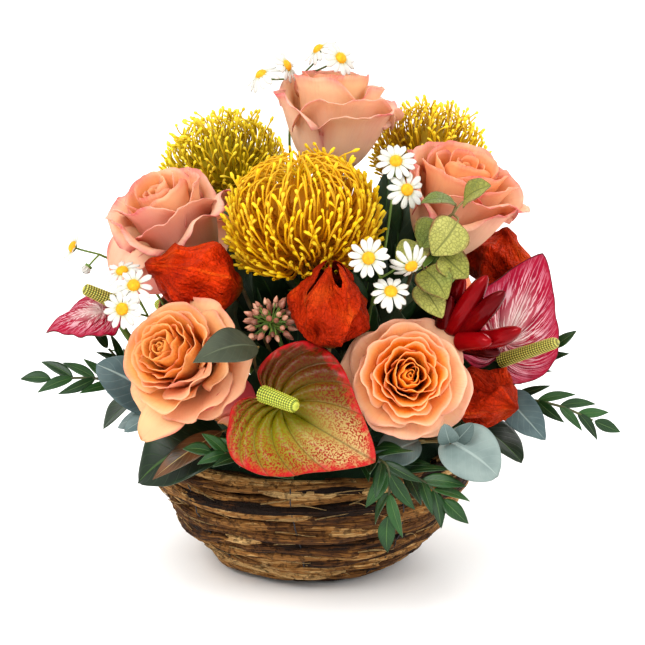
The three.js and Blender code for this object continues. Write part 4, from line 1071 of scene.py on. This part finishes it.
def makeLeaves(paints, stalkPaint):
    # each blade's stalk curves from the nearest place on the twig to the blade's root
    random = np.random.default_rng(11)
    stalks = []
    for name, spray in leaves.items():
        blades = []
        path = twigPath(spray["way"], 26)
        stalks.append(tubes(path, np.linspace(1.3, 0.8, len(path)), 8, random.uniform(0, 1)))
        shape, kind = spray["shape"], spray["finish"]
        for root, tip, up, width in spray["blades"]:
            root = np.array(root, float)
            wave, shade = edgeWave[shape], random.uniform(0, 1)
            blades.append(leafBlade(root, tip, up, width, shape, shade, wave=wave, rows=30, columns=17))
            joint = path[np.argmin(np.linalg.norm(path - root, axis=-1))]
            along = unit(tip - root)
            span = 0.4 * np.linalg.norm(root - joint)
            curve = bezier(joint, joint + span * unit(root - joint), root - span * along,
                           root + 0.6 * along, 10)
            stalks.append(tubes(curve, np.linspace(0.7, 0.55, 10), 6, random.uniform(0, 1)))
        makePiece(name + "_blades", blades, paints[kind], [name])
    makePiece("leaf_stalks", stalks, stalkPaint, [])


fillerLook = {
    "leaves": 130, "long": (30, 48), "width": (14, 24), "from": 0.66, "heap": (92, 84, 138),
    "middle": (4, -2, 92),
    "more": [  # root, tip, facing and width of leaves that stand behind gaps between the flowers
        [[34, 2, 150], [42, 8, 208], [0, -0.9, 0.4], 30],
        [[50, 6, 146], [58, 12, 200], [0.1, -0.9, 0.3], 30],
        [[30, -8, 146], [38, -14, 194], [0, -0.9, 0.4], 28],
        [[26, 8, 170], [30, 14, 226], [-0.1, -0.9, 0.3], 24],
        [[60, -10, 136], [50, -14, 182], [0, -0.9, 0.4], 28],
        [[84, -30, 100], [102, -36, 146], [0.2, -0.9, 0.3], 32],
        [[94, -18, 106], [114, -22, 146], [0.3, -0.9, 0.3], 28],
        [[-34, -56, 88], [-46, -62, 138], [-0.2, -0.9, 0.3], 30],
        [[-28, -60, 92], [-30, -70, 140], [0, -0.9, 0.3], 28],
        [[-48, -46, 96], [-64, -52, 132], [-0.4, -0.8, 0.3], 28],
        [[40, 6, 186], [46, 12, 240], [0, -0.9, 0.3], 20],
        [[50, 4, 176], [54, 10, 226], [0.1, -0.9, 0.3], 22],
        [[36, 2, 170], [36, 8, 222], [0, -0.9, 0.3], 22],
        [[72, -18, 80], [100, -26, 112], [0.2, -0.9, 0.3], 26],
    ],
}


def stalkTo(root, tip, count):
    # from the foam to a leaf's root, which it reaches on the line of the leaf
    root = np.array(root, float)
    mouth, end, _ = rooting(root)
    return bezier(end, mouth, root - 8 * unit(tip - root), root, count)


def makeFiller(finish, stalkPaint):
    # dark leaves that stand deep between the flowers: leaf k is rooted on an egg-shaped heap about the foam
    # along golden-angle headings, leans upward, and its tip stays below the flowers
    random = np.random.default_rng(17)
    look = fillerLook
    count = look["leaves"]
    w = np.linspace(0.02, 0.93, count) + random.normal(0, 0.02, count)
    turn = golden * np.arange(count) + random.normal(0, 0.2, count)
    headings = ring(np.sqrt(np.clip(1 - w**2, 0, 1)), turn, w)
    blades, stalks = [], []
    for heading in headings:
        root = heading * look["heap"] * look["from"] + look["middle"]
        long = random.uniform(*look["long"])
        tip = root + long * unit(heading * [0.7, 0.7, 0.8] + [0, 0, 0.35] + random.normal(0, 0.25, 3))
        up = heading + [0, 0, 0.2] + random.normal(0, 0.3, 3)
        width, shade = random.uniform(*look["width"]), random.uniform(0, 0.7)
        blades.append(leafBlade(root, tip, up, width, "oval", shade, wave=0.05, rows=14, columns=9))
        stalks.append(tubes(stalkTo(root, tip, 10), 0.6, 5, random.uniform(0, 1)))
    for root, tip, up, width in look["more"]:
        shade = random.uniform(0, 0.7)
        blades.append(leafBlade(root, tip, up, width, "oval", shade, wave=0.05, rows=20, columns=11))
        stalks.append(tubes(stalkTo(root, tip, 12), 0.7, 6, random.uniform(0, 1)))
    makePiece("filler_leaves", blades, finish, [])
    makePiece("filler_stalks", stalks, stalkPaint, [])


# mastic fronds

fronds = {  # each fork is [way, pairs, leaflet length, leaflet width]
    "mastic_front_left": [
        [[[-8, -72, 96], [-14, -100, 101], [-36, -118, 103], [-54, -122, 106]], 4, 20, 8]],
    "mastic_front": [[[[24, -70, 92], [32, -110, 100], [42, -128, 98], [42, -130, 72]], 4, 26, 9],
                     [[[24, -70, 92], [46, -106, 92], [62, -120, 88], [72, -126, 80]], 3, 24, 9]],
    "mastic_left": [[[[-72, -36, 96], [-96, -46, 116], [-122, -54, 128], [-150, -54, 128]], 4, 22, 8],
                    [[[-72, -36, 96], [-100, -40, 122], [-118, -44, 144]], 2, 18, 8]],
    "mastic_right": [[[[76, -30, 100], [112, -32, 110], [142, -46, 110], [164, -52, 102]], 4, 20, 8],
                     [[[76, -30, 100], [118, -22, 120], [142, -22, 138]], 2, 22, 7]],
    "mastic_back_left": [[[[-66, 40, 98], [-96, 70, 106], [-118, 84, 102]], 4, 24, 8]],
    "mastic_back_right": [[[[54, 50, 94], [94, 84, 108], [118, 98, 104]], 4, 24, 8]],
}


def frondBlades(way, pairs, long, width, random):
    # leaflet pairs along the last 0.7 of the rib: each leaves the rib a little behind the place that its
    # tip is measured from, and the tip lies out to both sides and forward; the rib ends in one more. The
    # frond is rolled about its rib so that it faces away from the middle of the arrangement.
    first, last = 0.3, 79
    mouth, end, _ = rooting(way[0])
    rib = smoothPath([mouth, *way], last + 1)
    heading = unit(np.gradient(rib, axis=0))
    side = unit(np.cross(heading, [0, 0, 1]))
    roll = -0.7 * np.sign(way[-1][1]) * side[:, 1:2]
    side = side * np.cos(roll) + np.cross(side, heading) * np.sin(roll)
    up = np.cross(side, heading)
    made = []
    count = pairs + 2
    for i in range(count):
        reach = long * (1 - 0.25 * i / count) * 0.95
        root, far = (round((first + (1 - first) * (i + past) / count) * last) for past in (0.05, 0.6))
        for hand in (-1, 1):
            spread, sweep = random.uniform(0.6, 0.7), random.uniform(0.66, 0.78)
            tip = rib[far] + reach * (hand * spread * side[far] + sweep * heading[far])
            tip = tip + reach * random.uniform(-0.12, 0.2) * up[far]
            face = up[far] + random.normal(0, 0.22, 3)
            wide, shade = width * random.uniform(0.68, 0.88), random.uniform(0, 1)
            made.append(leafBlade(rib[root], tip, face, wide, "lance", shade, 0.18, 0.05,
                                  rows=14, columns=7, thick=0.3))
    tip = rib[-1] + 0.8 * long * heading[-1]
    made.append(leafBlade(rib[-1], tip, up[-1], width, "lance", 0.5, 0.15, 0.05,
                          rows=14, columns=7, thick=0.3))
    return made, tubes([end, *rib[::3]], np.linspace(1.3, 0.7, 28), 6, random.uniform(0.3, 1))


def makeFronds(finish, stalkPaint):
    random = np.random.default_rng(23)
    ribs = []
    for name, forks in fronds.items():
        blades = []
        for fork in forks:
            made, rib = frondBlades(*fork, random)
            blades += made
            ribs.append(rib)
        makePiece(name + "_leaflets", blades, finish, [name])
    makePiece("mastic_ribs", ribs, stalkPaint, [])


# anthuriums

# tip is how far the heart's tip lies from its middle, cup how hollow it is, foot how far its notch lies
# from the stem, where it isn't the usual one, and spadix the way the spadix points
anthuriums = {
    "anthurium_front": {
        "at": [-25, -115, 135], "facing": [-0.12, -0.84, 0.52], "tipward": [0.86, -0.2, -0.5], "tip": 60,
        "slender": 1.1, "cup": 0.08, "spadix": [0.68, -0.72, -0.05], "long": 27, "thick": 4.6,
        "kind": "speckled_spathe",
    },
    "anthurium_right": {
        "at": [107, -46, 138], "facing": [0.3, -0.94, 0.05], "tipward": [0.42, 0.1, 0.88], "tip": 56,
        "slender": 1, "cup": 0.12, "spadix": [0.78, -0.5, 0.42], "long": 40, "thick": 4.0,
        "kind": "pink_spathe",
    },
    "anthurium_left": {
        "at": [-112, -50, 168], "facing": [-0.1, -0.42, 0.9], "tipward": [-1, -0.1, -0.05], "tip": 34,
        "slender": 1, "cup": 0.35, "foot": 4.9, "spadix": [-0.8, -0.3, 0.45], "long": 20, "thick": 4,
        "kind": "pink_spathe",
    },
    "anthurium_back": {
        "at": [-80, 58, 130], "facing": [-0.74, 0.62, 0.26], "tipward": [-0.2, 0.15, 0.95], "tip": 48,
        "slender": 1, "cup": 0.12, "spadix": [-0.6, 0.7, 0.4], "long": 26, "thick": 4,
        "kind": "speckled_spathe",
    },
}
spatheLook = {"veins": 7, "emboss": 2.6, "notch": 5.6}


def heart(off, tip):
    # the distance from the middle to the edge, at an angle off the tip
    drawn = 0.6 + 0.4 * np.exp(-((off / 0.36) ** 1.3))
    shoulders = 1 - 0.28 * ease(off, 1.6, 2.7)
    notch = 1 - 0.8 * np.exp(-(((np.pi - off) / 0.28) ** 2))
    return tip * drawn * shoulders * notch


def spathe(flower, seed):
    # polar about the middle of the heart: fall = -cup reach^2 / tip + 0.06 tip share, raised between veins
    # that leave the foot and arch towards the tip: angle = off / (1 - 0.58 share^0.8), height |sin(veins
    # angle / 2)|
    tip, cup = flower["tip"], flower["cup"]
    turn = np.linspace(-np.pi, np.pi, 144, endpoint=False)[None]
    share = np.linspace(0.004, 1, 34)[:, None]
    off = np.abs(turn)
    reach = share * heart(off, tip)
    start = off / (1 - 0.58 * share**0.8)
    ridges = np.abs(np.sin(spatheLook["veins"] * start / 2 + 0.25 * np.sin(3 * turn + seed))) ** 0.7
    cross = 0.3 * np.abs(np.sin(30 * share + 4 * start)) * ridges
    swell = ease(share, 0, 0.25) * (1 - 0.75 * ease(share, 0.75, 1))
    fall = -cup * reach**2 / tip + 0.06 * tip * share
    fall = fall + spatheLook["emboss"] * (ridges + cross - 0.6) * swell
    fall = fall + 1.3 * share**3 * np.sin(5 * turn + seed) + 0.7 * share**4 * np.sin(13 * turn + 2 * seed)
    middle = flower.get("foot", spatheLook["notch"]) + heart(np.pi, tip)
    grid = np.stack([flower["slender"] * reach * np.sin(turn), middle + reach * np.cos(turn), fall],
                    axis=-1)
    made = sheet(grid, 0.7, closed=True)
    made["marks"][:, 0] = np.tile((start / np.pi).ravel(), 2)  # u runs across the veins, for the finish
    return made


def spatheFinish(name, kind):
    f = Finish(name, Roughness=0.36, Specular_IOR_Level=0.16, Coat_Weight=0.05, Coat_Roughness=0.1)
    u, v, side, _ = f.marks()
    cloud = f.noise(45, 4)
    fine = f.noise(260, 3)
    height = f.add("SeparateXYZ", {0: f.place()}, out=2)
    vein = f.absolute(f.calc("SINE", f.times(u, spatheLook["veins"] * math.pi / 2)))
    groove = f.span(vein, 0.14, 0.0)
    off = f.absolute(u)
    if kind == "speckled_spathe":
        # olive that pales towards the tip and darkens high up, with dense specks and a crimson border
        tone = f.plus(f.times(v, 0.6), f.times(cloud, 0.4))
        hue = f.ramp(tone, [(0.16, "666e08"), (0.4, "7a780e"), (0.6, "867a1c"), (0.85, "8a7028")])
        tipward = f.times(f.span(off, 0.42, 0.08), f.span(v, 0.25, 0.8, 0, 0.9))
        hue = f.mix(tipward, hue, "c0a06c")
        dense = f.times(f.span(f.plus(v, cloud), 0.62, 1.25, 0.2, 0.95), f.span(vein, 0.1, 0.6, 0.5, 1))
        dots = f.times(f.span(f.noise(1000, 2), 0.47, 0.56), dense)
        hue = f.mix(dots, hue, "8c1a0e")
        hue = f.mix(f.span(height, 0.118, 0.15, 0, 0.85), hue, "4a1806")
        border = f.plus(v, f.times(f.minus(fine, 0.5), 0.35))
        hue = f.mix(f.span(border, 0.86, 1.0, 0, 0.92), hue, "b0141e")
        hue = f.mix(f.times(groove, 0.55), hue, "3c3808")
    else:
        # crimson streaks that run out from the foot, denser towards the edge and low down, on pale pink
        hue = f.mix(f.span(v, 0.3, 0.85), "decac4", "cc8494")
        streaks = f.noise(1.0, 5, f.vector(f.times(u, 52), f.times(v, 3.5)), 0.8)
        reach = f.plus(v, f.times(off, 0.4), f.times(f.span(height, 0.165, 0.12), 0.5))
        red = f.times(f.span(streaks, 0.41, 0.51), f.span(reach, 0.1, 0.75, 0.35, 1))
        red = f.larger(red, f.span(f.plus(v, f.times(fine, 0.3)), 0.9, 1.14))
        hue = f.mix(red, hue, "9c0430")
        hue = f.mix(f.times(groove, 0.5), hue, "90143c")
        hue = f.mix(f.span(v, 0.975, 1.0), hue, "42101a")
    f.colour(f.mix(side, f.mix(0.5, hue, "a88660"), hue))
    f.bump(f.plus(fine, f.times(groove, -0.6)), 0.4, 0.5)
    f.thin(0.1)
    return f.material


def spadixRod(long, thick):
    # a blunt taper: its radius is thick (1 - 0.2 t), and swells by a bead at each crossing of spirals
    t = np.linspace(0, 1, 110)[:, None]
    a = wholeTurn(72)
    rows = long / thick * 2.6
    beads = np.cos(9 * a + rows * np.pi * t) * np.cos(9 * a - rows * np.pi * t)
    blunt = np.sqrt(np.clip(1 - (np.clip((t - 0.88) / 0.12, 0, 1)) ** 2, 0, 1))
    radius = thick * (1 - 0.2 * t) * (1 + 0.09 * beads) * blunt
    # the bead relief is also the shade, which the finish paints pale on the crests and dark in the hollows
    return skin(ring(radius, a, long * t), beads.ravel())


def spadixFinish(name, low, high):
    f = Finish(name, Roughness=0.5, Subsurface_Weight=0.1, Subsurface_Scale=0.002)
    *_, shade = f.marks()
    # pale on the bead crests and dark olive in the hollows: partly the florets' own colour, partly painted
    # shade in the hollows
    f.colour(f.mix(f.span(shade, -0.35, 0.75), low, high))
    return f.material


def makeAnthuriums(stemPaint):
    spathePaint = {kind: spatheFinish(kind, kind) for kind in ("speckled_spathe", "pink_spathe")}
    lime = spadixFinish("limeSpadix", "566404", "c8cc50")
    gold = spadixFinish("goldSpadix", "4c4a04", "d2ca64")
    stems = []
    for seed, (name, flower) in enumerate(anthuriums.items()):
        kind, at = flower["kind"], np.array(flower["at"], float)
        heartMade = placed(spathe(flower, seed), at, tipTurn(flower["facing"], flower["tipward"]))
        makePiece(name + "_spathe", [heartMade], spathePaint[kind], [name])
        out = unit(flower["facing"])
        base = at + 6 * out
        rod = placed(spadixRod(flower["long"], flower["thick"]), base, upTurn(flower["spadix"]))
        rodPaint = gold if kind == "pink_spathe" else lime
        makePiece(name + "_spadix_beads", [rod], rodPaint, [name + "_spadix"])
        path = np.array([*stemPath(at, out), at + 3 * out, base + 2 * unit(flower["spadix"])])
        stems.append(tubes(path, np.linspace(2.3, 1.9, len(path)), 10, 0.6))
    makePiece("anthurium_stems", stems, stemPaint, [])


# chamomile

chamomile = {  # each fork is its way and its heads, [place, facing, rays, droop]; no rays is a bud
    "chamomile_middle": [
        [[[28, -56, 138], [34, -84, 182], [38, -96, 197]],
         [[[31, -110, 211], [-0.05, -1, 0.15], 13, 0.05], [[43, -112, 193], [0.05, -0.7, 0.7], 12, 0.35],
          [[54, -106, 206], [0.3, -0.8, -0.5], 11, 0.7]]],
        [[[28, -56, 138], [40, -56, 196], [46, -56, 238]],
         [[[47, -64, 256], [-0.05, -0.8, 0.6], 13, 0.1], [[53, -70, 241], [0.25, -0.9, 0.35], 12, 0.3]]]],
    "chamomile_top": [
        [[[-8, 50, 150], [-12, 62, 215], [-14, 63, 255], [-8, 50, 288]],
         [[[-30, 22, 294], [-0.5, -0.3, 0.8], 11, 0.5], [[-15, 24, 299], [0.75, -0.3, 0.4], 11, 0.2],
          [[4, 30, 308], [-0.6, -0.2, 0.75], 11, 0.4], [[17, 18, 304], [0.5, -0.7, 0.5], 12, 0.2]]]],
    "chamomile_left": [
        [[[-60, -34, 122], [-84, -58, 158], [-92, -66, 168]],
         [[[-104, -90, 178], [-0.15, -0.95, 0.3], 12, 0.1], [[-98, -84, 190], [0.1, -0.75, 0.6], 11, 0.2],
          [[-106, -66, 194], [-0.2, -0.5, 0.85], 11, 0.3]]],
        [[[-60, -34, 122], [-98, -8, 176], [-124, -20, 194]],
         [[[-138, -28, 200], [-0.8, -0.3, 0.4], 9, -0.3], [[-130, -27, 188], [-0.5, -0.4, -0.6], 0, 0]]]],
}
daisyLook = {
    "long": (7.2, 8.8),  # shortest and longest ray
    "half": 1.75,  # half the width of a ray
    "start": 3.0,  # where rays leave the disc
    "disc": (3.6, 2.6),  # radius and height of the disc
    "cup": (3.5, -1.8),  # and of the green cup under it
    "bud": (2.4, 2.2),
}


def rays(count, droop, random):
    # white tongues round the disc: widest near their round ends, falling by droop v^1.6, slightly cupped
    look = daisyLook
    made = []
    v = np.linspace(0, 1, 9)[:, None]
    u = np.linspace(-1, 1, 5)[None]
    for k in range(count):
        long = random.uniform(*look["long"])
        rounded = np.sqrt(np.clip(1 - np.clip((v - 0.72) / 0.3, 0, 1) ** 2.5, 0.02, 1))
        half = look["half"] * (0.5 + 0.5 * ease(v, 0, 0.6)) * rounded
        lift = -(droop + random.normal(0, 0.12)) * long * v**1.6 - 0.25 * u**2 + 0.15 * np.cos(6 * u) * v
        x = look["start"] + long * (v - 0.06 * np.abs(u) ** 2 * v)
        grid = np.stack([x, u * half, lift + 0.3], axis=-1)
        turn = upTurn([0, 0, 1], 2 * np.pi * (k + random.uniform(-0.18, 0.18)) / count)
        made.append(placed(sheet(grid, 0.25, random.uniform(0, 1)), [0, 0, 0], turn))
    return made


def dome(radius, tall, rows=14, sides=24):
    # half an egg, (radius cos t, tall sin t) round Z, raised by florets where two sets of spirals cross
    t = np.linspace(0, np.pi / 2, rows)[:, None]
    a = wholeTurn(sides)
    florets = 1 + 0.05 * np.cos(8 * a + 9 * t) * np.cos(8 * a - 9 * t)
    return skin(ring(radius * np.cos(t) * florets, a, tall * np.sin(t) * florets))


def makeChamomile(white, yellow, stalkPaint):
    look = daisyLook
    random = np.random.default_rng(31)
    for name, forks in chamomile.items():
        tongues, discs, stalks = [], [], []
        for way, heads in forks:
            path = twigPath(way, 30)
            stalks.append(tubes(path, np.linspace(1.1, 0.7, len(path)), 6, 0.7))
            for at, facing, count, droop in heads:
                turn, heading = upTurn(facing), unit(facing)
                at = np.array(at, float)
                joint = path[np.argmin(np.linalg.norm(path - (at - 7 * heading), axis=-1))]
                back = at - 1.0 * heading
                curve = bezier(joint, joint + 0.4 * (back - joint), back - 5 * heading, back, 12)
                stalks.append(tubes(curve, 0.6, 6, 0.8))
                if count:
                    tongues += [placed(made, at, turn) for made in rays(count, droop, random)]
                    discs.append(placed(dome(*look["disc"]), at, turn))
                    cup = dome(*look["cup"], 6, 14)
                    cup["faces"] = cup["faces"][:, ::-1]
                    stalks.append(placed(cup, at, turn))
                    continue
                for k in range(9):
                    out = ring(1, 0.7 * k, 0)
                    closed = leafBlade(1.2 * out, 0.8 * out + [0, 0, 4.4], out, 2.6, "oval", 0.3, 0.1, 0.25)
                    tongues.append(placed(closed, at, turn))
                stalks.append(placed(dome(*look["bud"], 6, 12), at - heading, turn))
        makePiece(name + "_rays", tongues, white, [name])
        makePiece(name + "_discs", discs, yellow, [])
        makePiece(name + "_stalks", stalks, stalkPaint, [])


# chilies and berries

chilies = {
    "way": [[52, -46, 104], [70, -64, 138], [76, -72, 156]],  # of the twig that they hang from
    "pods": [  # root, tip, radius
        [[80, -86, 170], [96, -98, 199], 4.4], [[88, -88, 168], [105, -106, 192], 4.3],
        [[92, -92, 162], [114, -110, 172], 4.1],
        [[84, -92, 160], [98, -108, 164], 3.9], [[88, -84, 156], [104, -98, 155], 3.9],
        [[74, -86, 170], [77, -92, 186], 3.7],
        [[78, -80, 174], [84, -86, 196], 3.7], [[86, -78, 172], [94, -82, 194], 3.5],
        [[72, -78, 172], [71, -80, 194], 3.5]],
}


def makeChilies(podPaint, capPaint):
    # a pod's radius fills out from its neck, thins a little and rounds off: 1.5 r sqrt(0.2 + t / 0.14) up
    # to 1.5 r, times 1 - t / 4, times (1 - ((t - 0.62) / 0.38)^2)^0.6 past 0.62; each hangs on a stalk that
    # widens to a cap
    random = np.random.default_rng(41)
    crown = np.array(chilies["way"][-1], float)
    pods, caps = [], [tubes(twigPath(chilies["way"], 24), 1.7, 8, 0.5)]
    for root, tip, radius in chilies["pods"]:
        root, tip = np.array(root, float), np.array(tip, float)
        start = root - 0.25 * (tip - root)
        along = unit(tip - root)
        t = np.linspace(0, 1, 26)
        bend = np.cross(along, random.normal(size=3)) * 1.2
        path = start + (tip - start) * t[:, None] + bend * np.sin(np.pi * t[:, None])
        end = np.sqrt(np.clip(1 - (np.clip((t - 0.62) / 0.38, 0, 1)) ** 2, 0, 1)) ** 1.2
        profile = 1.5 * radius * np.sqrt(np.clip(0.2 + t / 0.14, 0, 1)) * (1 - 0.25 * t) * end
        pods.append(tubes(path, np.maximum(profile, 0.15), 18, random.uniform(0, 1)))
        neck = path[1]
        stalk = bezier(crown, crown + 0.3 * (neck - crown), neck - 6 * along, neck + 1.5 * along, 12)
        caps.append(tubes(stalk, np.append(np.full(9, 0.8), [1.6, 2.7, 2.3]), 10, 0.3))
    makePiece("chili_pods", pods, podPaint, ["chili_bunch"])
    makePiece("chili_stalks", caps, capPaint, [])


berries = {
    "way": [[-12, -60, 126], [-17, -80, 156]], "at": [-22, -90, 170],
    "buds": 52,
    "spread": 15,  # how far the buds reach from the middle
    "bud": 1.55,  # radius of a bud
}


def makeBerries(budPaint, stalkPaint):
    # buds shaped like drops stand on short stalks all over a ball, at golden-angle headings
    random = np.random.default_rng(43)
    middle = np.array(berries["at"], float)
    buds, stalks = [], [tubes(twigPath([*berries["way"], berries["at"]], 20), 1.3, 8, 0.3)]
    count, spread = berries["buds"], berries["spread"]
    for k in range(count):
        w = 1 - 1.7 * (k + 0.5) / count
        heading = unit(ring(math.sqrt(1 - w * w), golden * k, w) + random.normal(0, 0.06, 3))
        near, far = spread * random.uniform(0.62, 0.78), spread * random.uniform(0.98, 1.12)
        path = middle + heading * np.linspace(near, far, 12)[:, None]
        radius = berries["bud"] * oval(np.linspace(0, 1, 12), 0.62, 0.7) * random.uniform(0.85, 1.15)
        buds.append(tubes(path, np.maximum(radius, 0.12), 10, random.uniform(0, 1)))
        root = middle + 0.25 * spread * heading + random.normal(0, 1.5, 3)
        stalk = bezier(middle, root, path[0] - 2 * heading, path[0], 7)
        stalks.append(tubes(stalk, 0.45, 5, random.uniform(0, 1)))
    makePiece("berry_buds", buds, budPaint, ["berry_cluster"])
    makePiece("berry_stalks", stalks, stalkPaint, [])


# plain finishes

def plainFinish(name, stops, scale, depth, **values):
    # tones in clouds of one size, and a finer grain in relief
    f = Finish(name, **values)
    _, _, _, shade = f.marks()
    tone = f.plus(f.times(f.noise(scale, 4), 0.65), f.times(shade, 0.35))
    f.colour(f.ramp(tone, stops))
    f.bump(f.noise(scale * 5, 2), depth, 0.5)
    return f.material


def rayFinish():
    f = Finish("whiteRay", Roughness=0.6, Specular_IOR_Level=0.3)
    u, v, _, shade = f.marks()
    f.colour(f.mix(f.span(v, 0.3, 0.0), f.mix(shade, "e9e8e2", "dedcd2"), "ccd09c"))
    f.bump(f.calc("SINE", f.times(u, 14)), 0.15, 0.5)
    f.thin(0.25)
    return f.material


# the build

wirePaint = plainFinish("wire", [(0.3, "3c3c40"), (0.7, "6a6a70")], 90, 0.2, Metallic=0.7, Roughness=0.5)
makeBasket(vineFinish(), wirePaint)
makeLiner()
makeFoam()
print("basket, liner and foam built")
stemPaint = stemFinish("greenStem", "3f5a22", "7f9a48")
twigPaint = stemFinish("brownTwig", "4a3a20", "8a7a4a")
darkTwig = stemFinish("darkTwig", "2c3018", "5a5c34")
makeRoses(stemPaint)
print("roses built")
makePincushions(stemPaint)
fruitPaint = plainFinish("lanternFruit", [(0.3, "8f1406"), (0.7, "d2380c")], 60, 0.1, Roughness=0.2,
                         Specular_IOR_Level=0.6)
makeLanterns(lanternFinish(), fruitPaint, twigPaint)
makeAnthuriums(stemPaint)
print("pincushions, lanterns and anthuriums built")
discPaint = plainFinish("yellowDisc", [(0.3, "d99a08"), (0.7, "f6cf1c")], 500, 0.5, Roughness=0.7)
makeChamomile(rayFinish(), discPaint, stemPaint)
leafPaints = {
    "gold_leaf": leafFinish("goldLeaf", ("74803a", "9c9c4a", "bcb868"), "4c5422", 0.6, 0.2, net=True,
                            rim="7c4a2c"),
    "grey_leaf": leafFinish("greyLeaf", ("435658", "607474", "889a98"), "a2b2ac", 0.4, 0.1),
    "silver_leaf": leafFinish("silverLeaf", ("52625f", "6a7a77", "86948f"), "9caaa4", 0.4, 0.1),
    "lance_leaf": leafFinish("lanceLeaf", ("262b20", "353b2c", "4a503e"), "646c54", 0.4, 0.1),
    "salal_leaf": leafFinish("salalLeaf", ("0e240a", "183410", "2a4c1a"), "4c6c30", 0.5, 0.1, rough=0.4,
                             coat=0.1),
    "bronze_leaf": leafFinish("bronzeLeaf", ("3a2c1a", "6a4426", "8f6a3c"), "c4ae74", 0.5, 0.1, rough=0.35,
                              coat=0.2),
}
makeLeaves(leafPaints, twigPaint)
fillerPaint = leafFinish("fillerLeaf", ("10240e", "1c3a16", "2c4e20"), "3c5c2a", 0.5, 0.08, rough=0.45)
makeFiller(fillerPaint, darkTwig)
masticPaint = leafFinish("masticLeaf", ("10280e", "1c3e1a", "2e5826"), "64824a", 0.4, 0.1, rough=0.4,
                         coat=0.08)
makeFronds(masticPaint, darkTwig)
podPaint = plainFinish("chiliPod", [(0.3, "300104"), (0.55, "580208"), (0.75, "80060e")], 50, 0.03,
                       Roughness=0.14, Specular_IOR_Level=0.4, Specular_Tint=(1.0, 0.3, 0.3, 1.0))
makeChilies(podPaint, stemPaint)
budPaint = plainFinish("berryBud", [(0.3, "6c4434"), (0.5, "a46c58"), (0.75, "d0a488")], 260, 0.2,
                       Roughness=0.45)
makeBerries(budPaint, stemPaint)
print("leaves, fronds, chilies and berries built")

# the stage

stageLook = {
    "floor": ("fbfbfa", "faf9f8"), "half": 6,  # its two tones and half its width, in metres
    "world": "ffffff", "worldStrength": 0.9,
    "key": 26.0, "fill": 9.0, "back": 12.0,  # watts
    "lamp": 1.2, "aim": 0.15,  # width of each light and the height that it shines at, in metres
}
scene = bpy.context.scene
scene.view_settings.view_transform = "Standard"
scene.view_settings.look = "Medium High Contrast"
scene.view_settings.exposure = 0.15
scene.world = scene.world or bpy.data.worlds.new("studio")
scene.world.use_nodes = True
sky = scene.world.node_tree.nodes["Background"]
sky.inputs["Color"].default_value = paint(stageLook["world"])
sky.inputs["Strength"].default_value = stageLook["worldStrength"]

floorMesh = bpy.data.meshes.new("floor")
half = stageLook["half"]
corners = [(-half, -half, 0), (half, -half, 0), (half, half, 0), (-half, half, 0)]
floorMesh.from_pydata(corners, [], [(0, 1, 2, 3)])
floorFinish = Finish("floorPaint", Roughness=0.9)
floorTones = [(0.0, stageLook["floor"][0]), (1.0, stageLook["floor"][1])]
floorFinish.colour(floorFinish.ramp(floorFinish.noise(3, 1), floorTones))
floorMesh.materials.append(floorFinish.material)
floor = bpy.data.objects.new("floor", floorMesh)
scene.collection.objects.link(floor)


def softLight(name, place, strength):
    # a square light that shines at the middle of the arrangement
    light = bpy.data.lights.new(name, "AREA")
    light.shape = "SQUARE"
    light.size = stageLook["lamp"]
    light.energy = strength
    lamp = bpy.data.objects.new(name, light)
    place = np.array(place)
    lamp.matrix_world = lookMatrix(place, unit([0, 0, stageLook["aim"]] - place))
    scene.collection.objects.link(lamp)


def lookMatrix(place, aim):
    # a matrix at place whose -Z is aim and whose +Y leans upward
    z = -aim
    x = unit(np.cross([0, 0, 1], z))
    y = np.cross(z, x)
    matrix = mathutils.Matrix.Identity(4)
    for column, axis in enumerate((x, y, z, place)):
        for row in range(3):
            matrix[row][column] = float(axis[row])
    return matrix


softLight("key", [-0.9, -1.3, 1.7], stageLook["key"])
softLight("fill", [1.4, -0.9, 0.9], stageLook["fill"])
softLight("behind", [0.6, 1.4, 1.5], stageLook["back"])

# the camera, at the photo's angle
shot = {"target": (0.0063, 0.0, 0.148), "elevation": 14.0, "distance": 1.15, "halfWidth": 0.1935}
lens = bpy.data.cameras.new("photo_camera")
lens.sensor_fit = "HORIZONTAL"
lens.angle = 2 * math.atan(shot["halfWidth"] / shot["distance"])
lens.clip_start = 0.01
camera = bpy.data.objects.new("photo_camera", lens)
tilt = math.radians(shot["elevation"])
outward = np.array([0, -math.cos(tilt), math.sin(tilt)])
camera.matrix_world = lookMatrix(np.array(shot["target"]) + shot["distance"] * outward, -outward)
scene.collection.objects.link(camera)
scene.camera = camera

print("stage set")
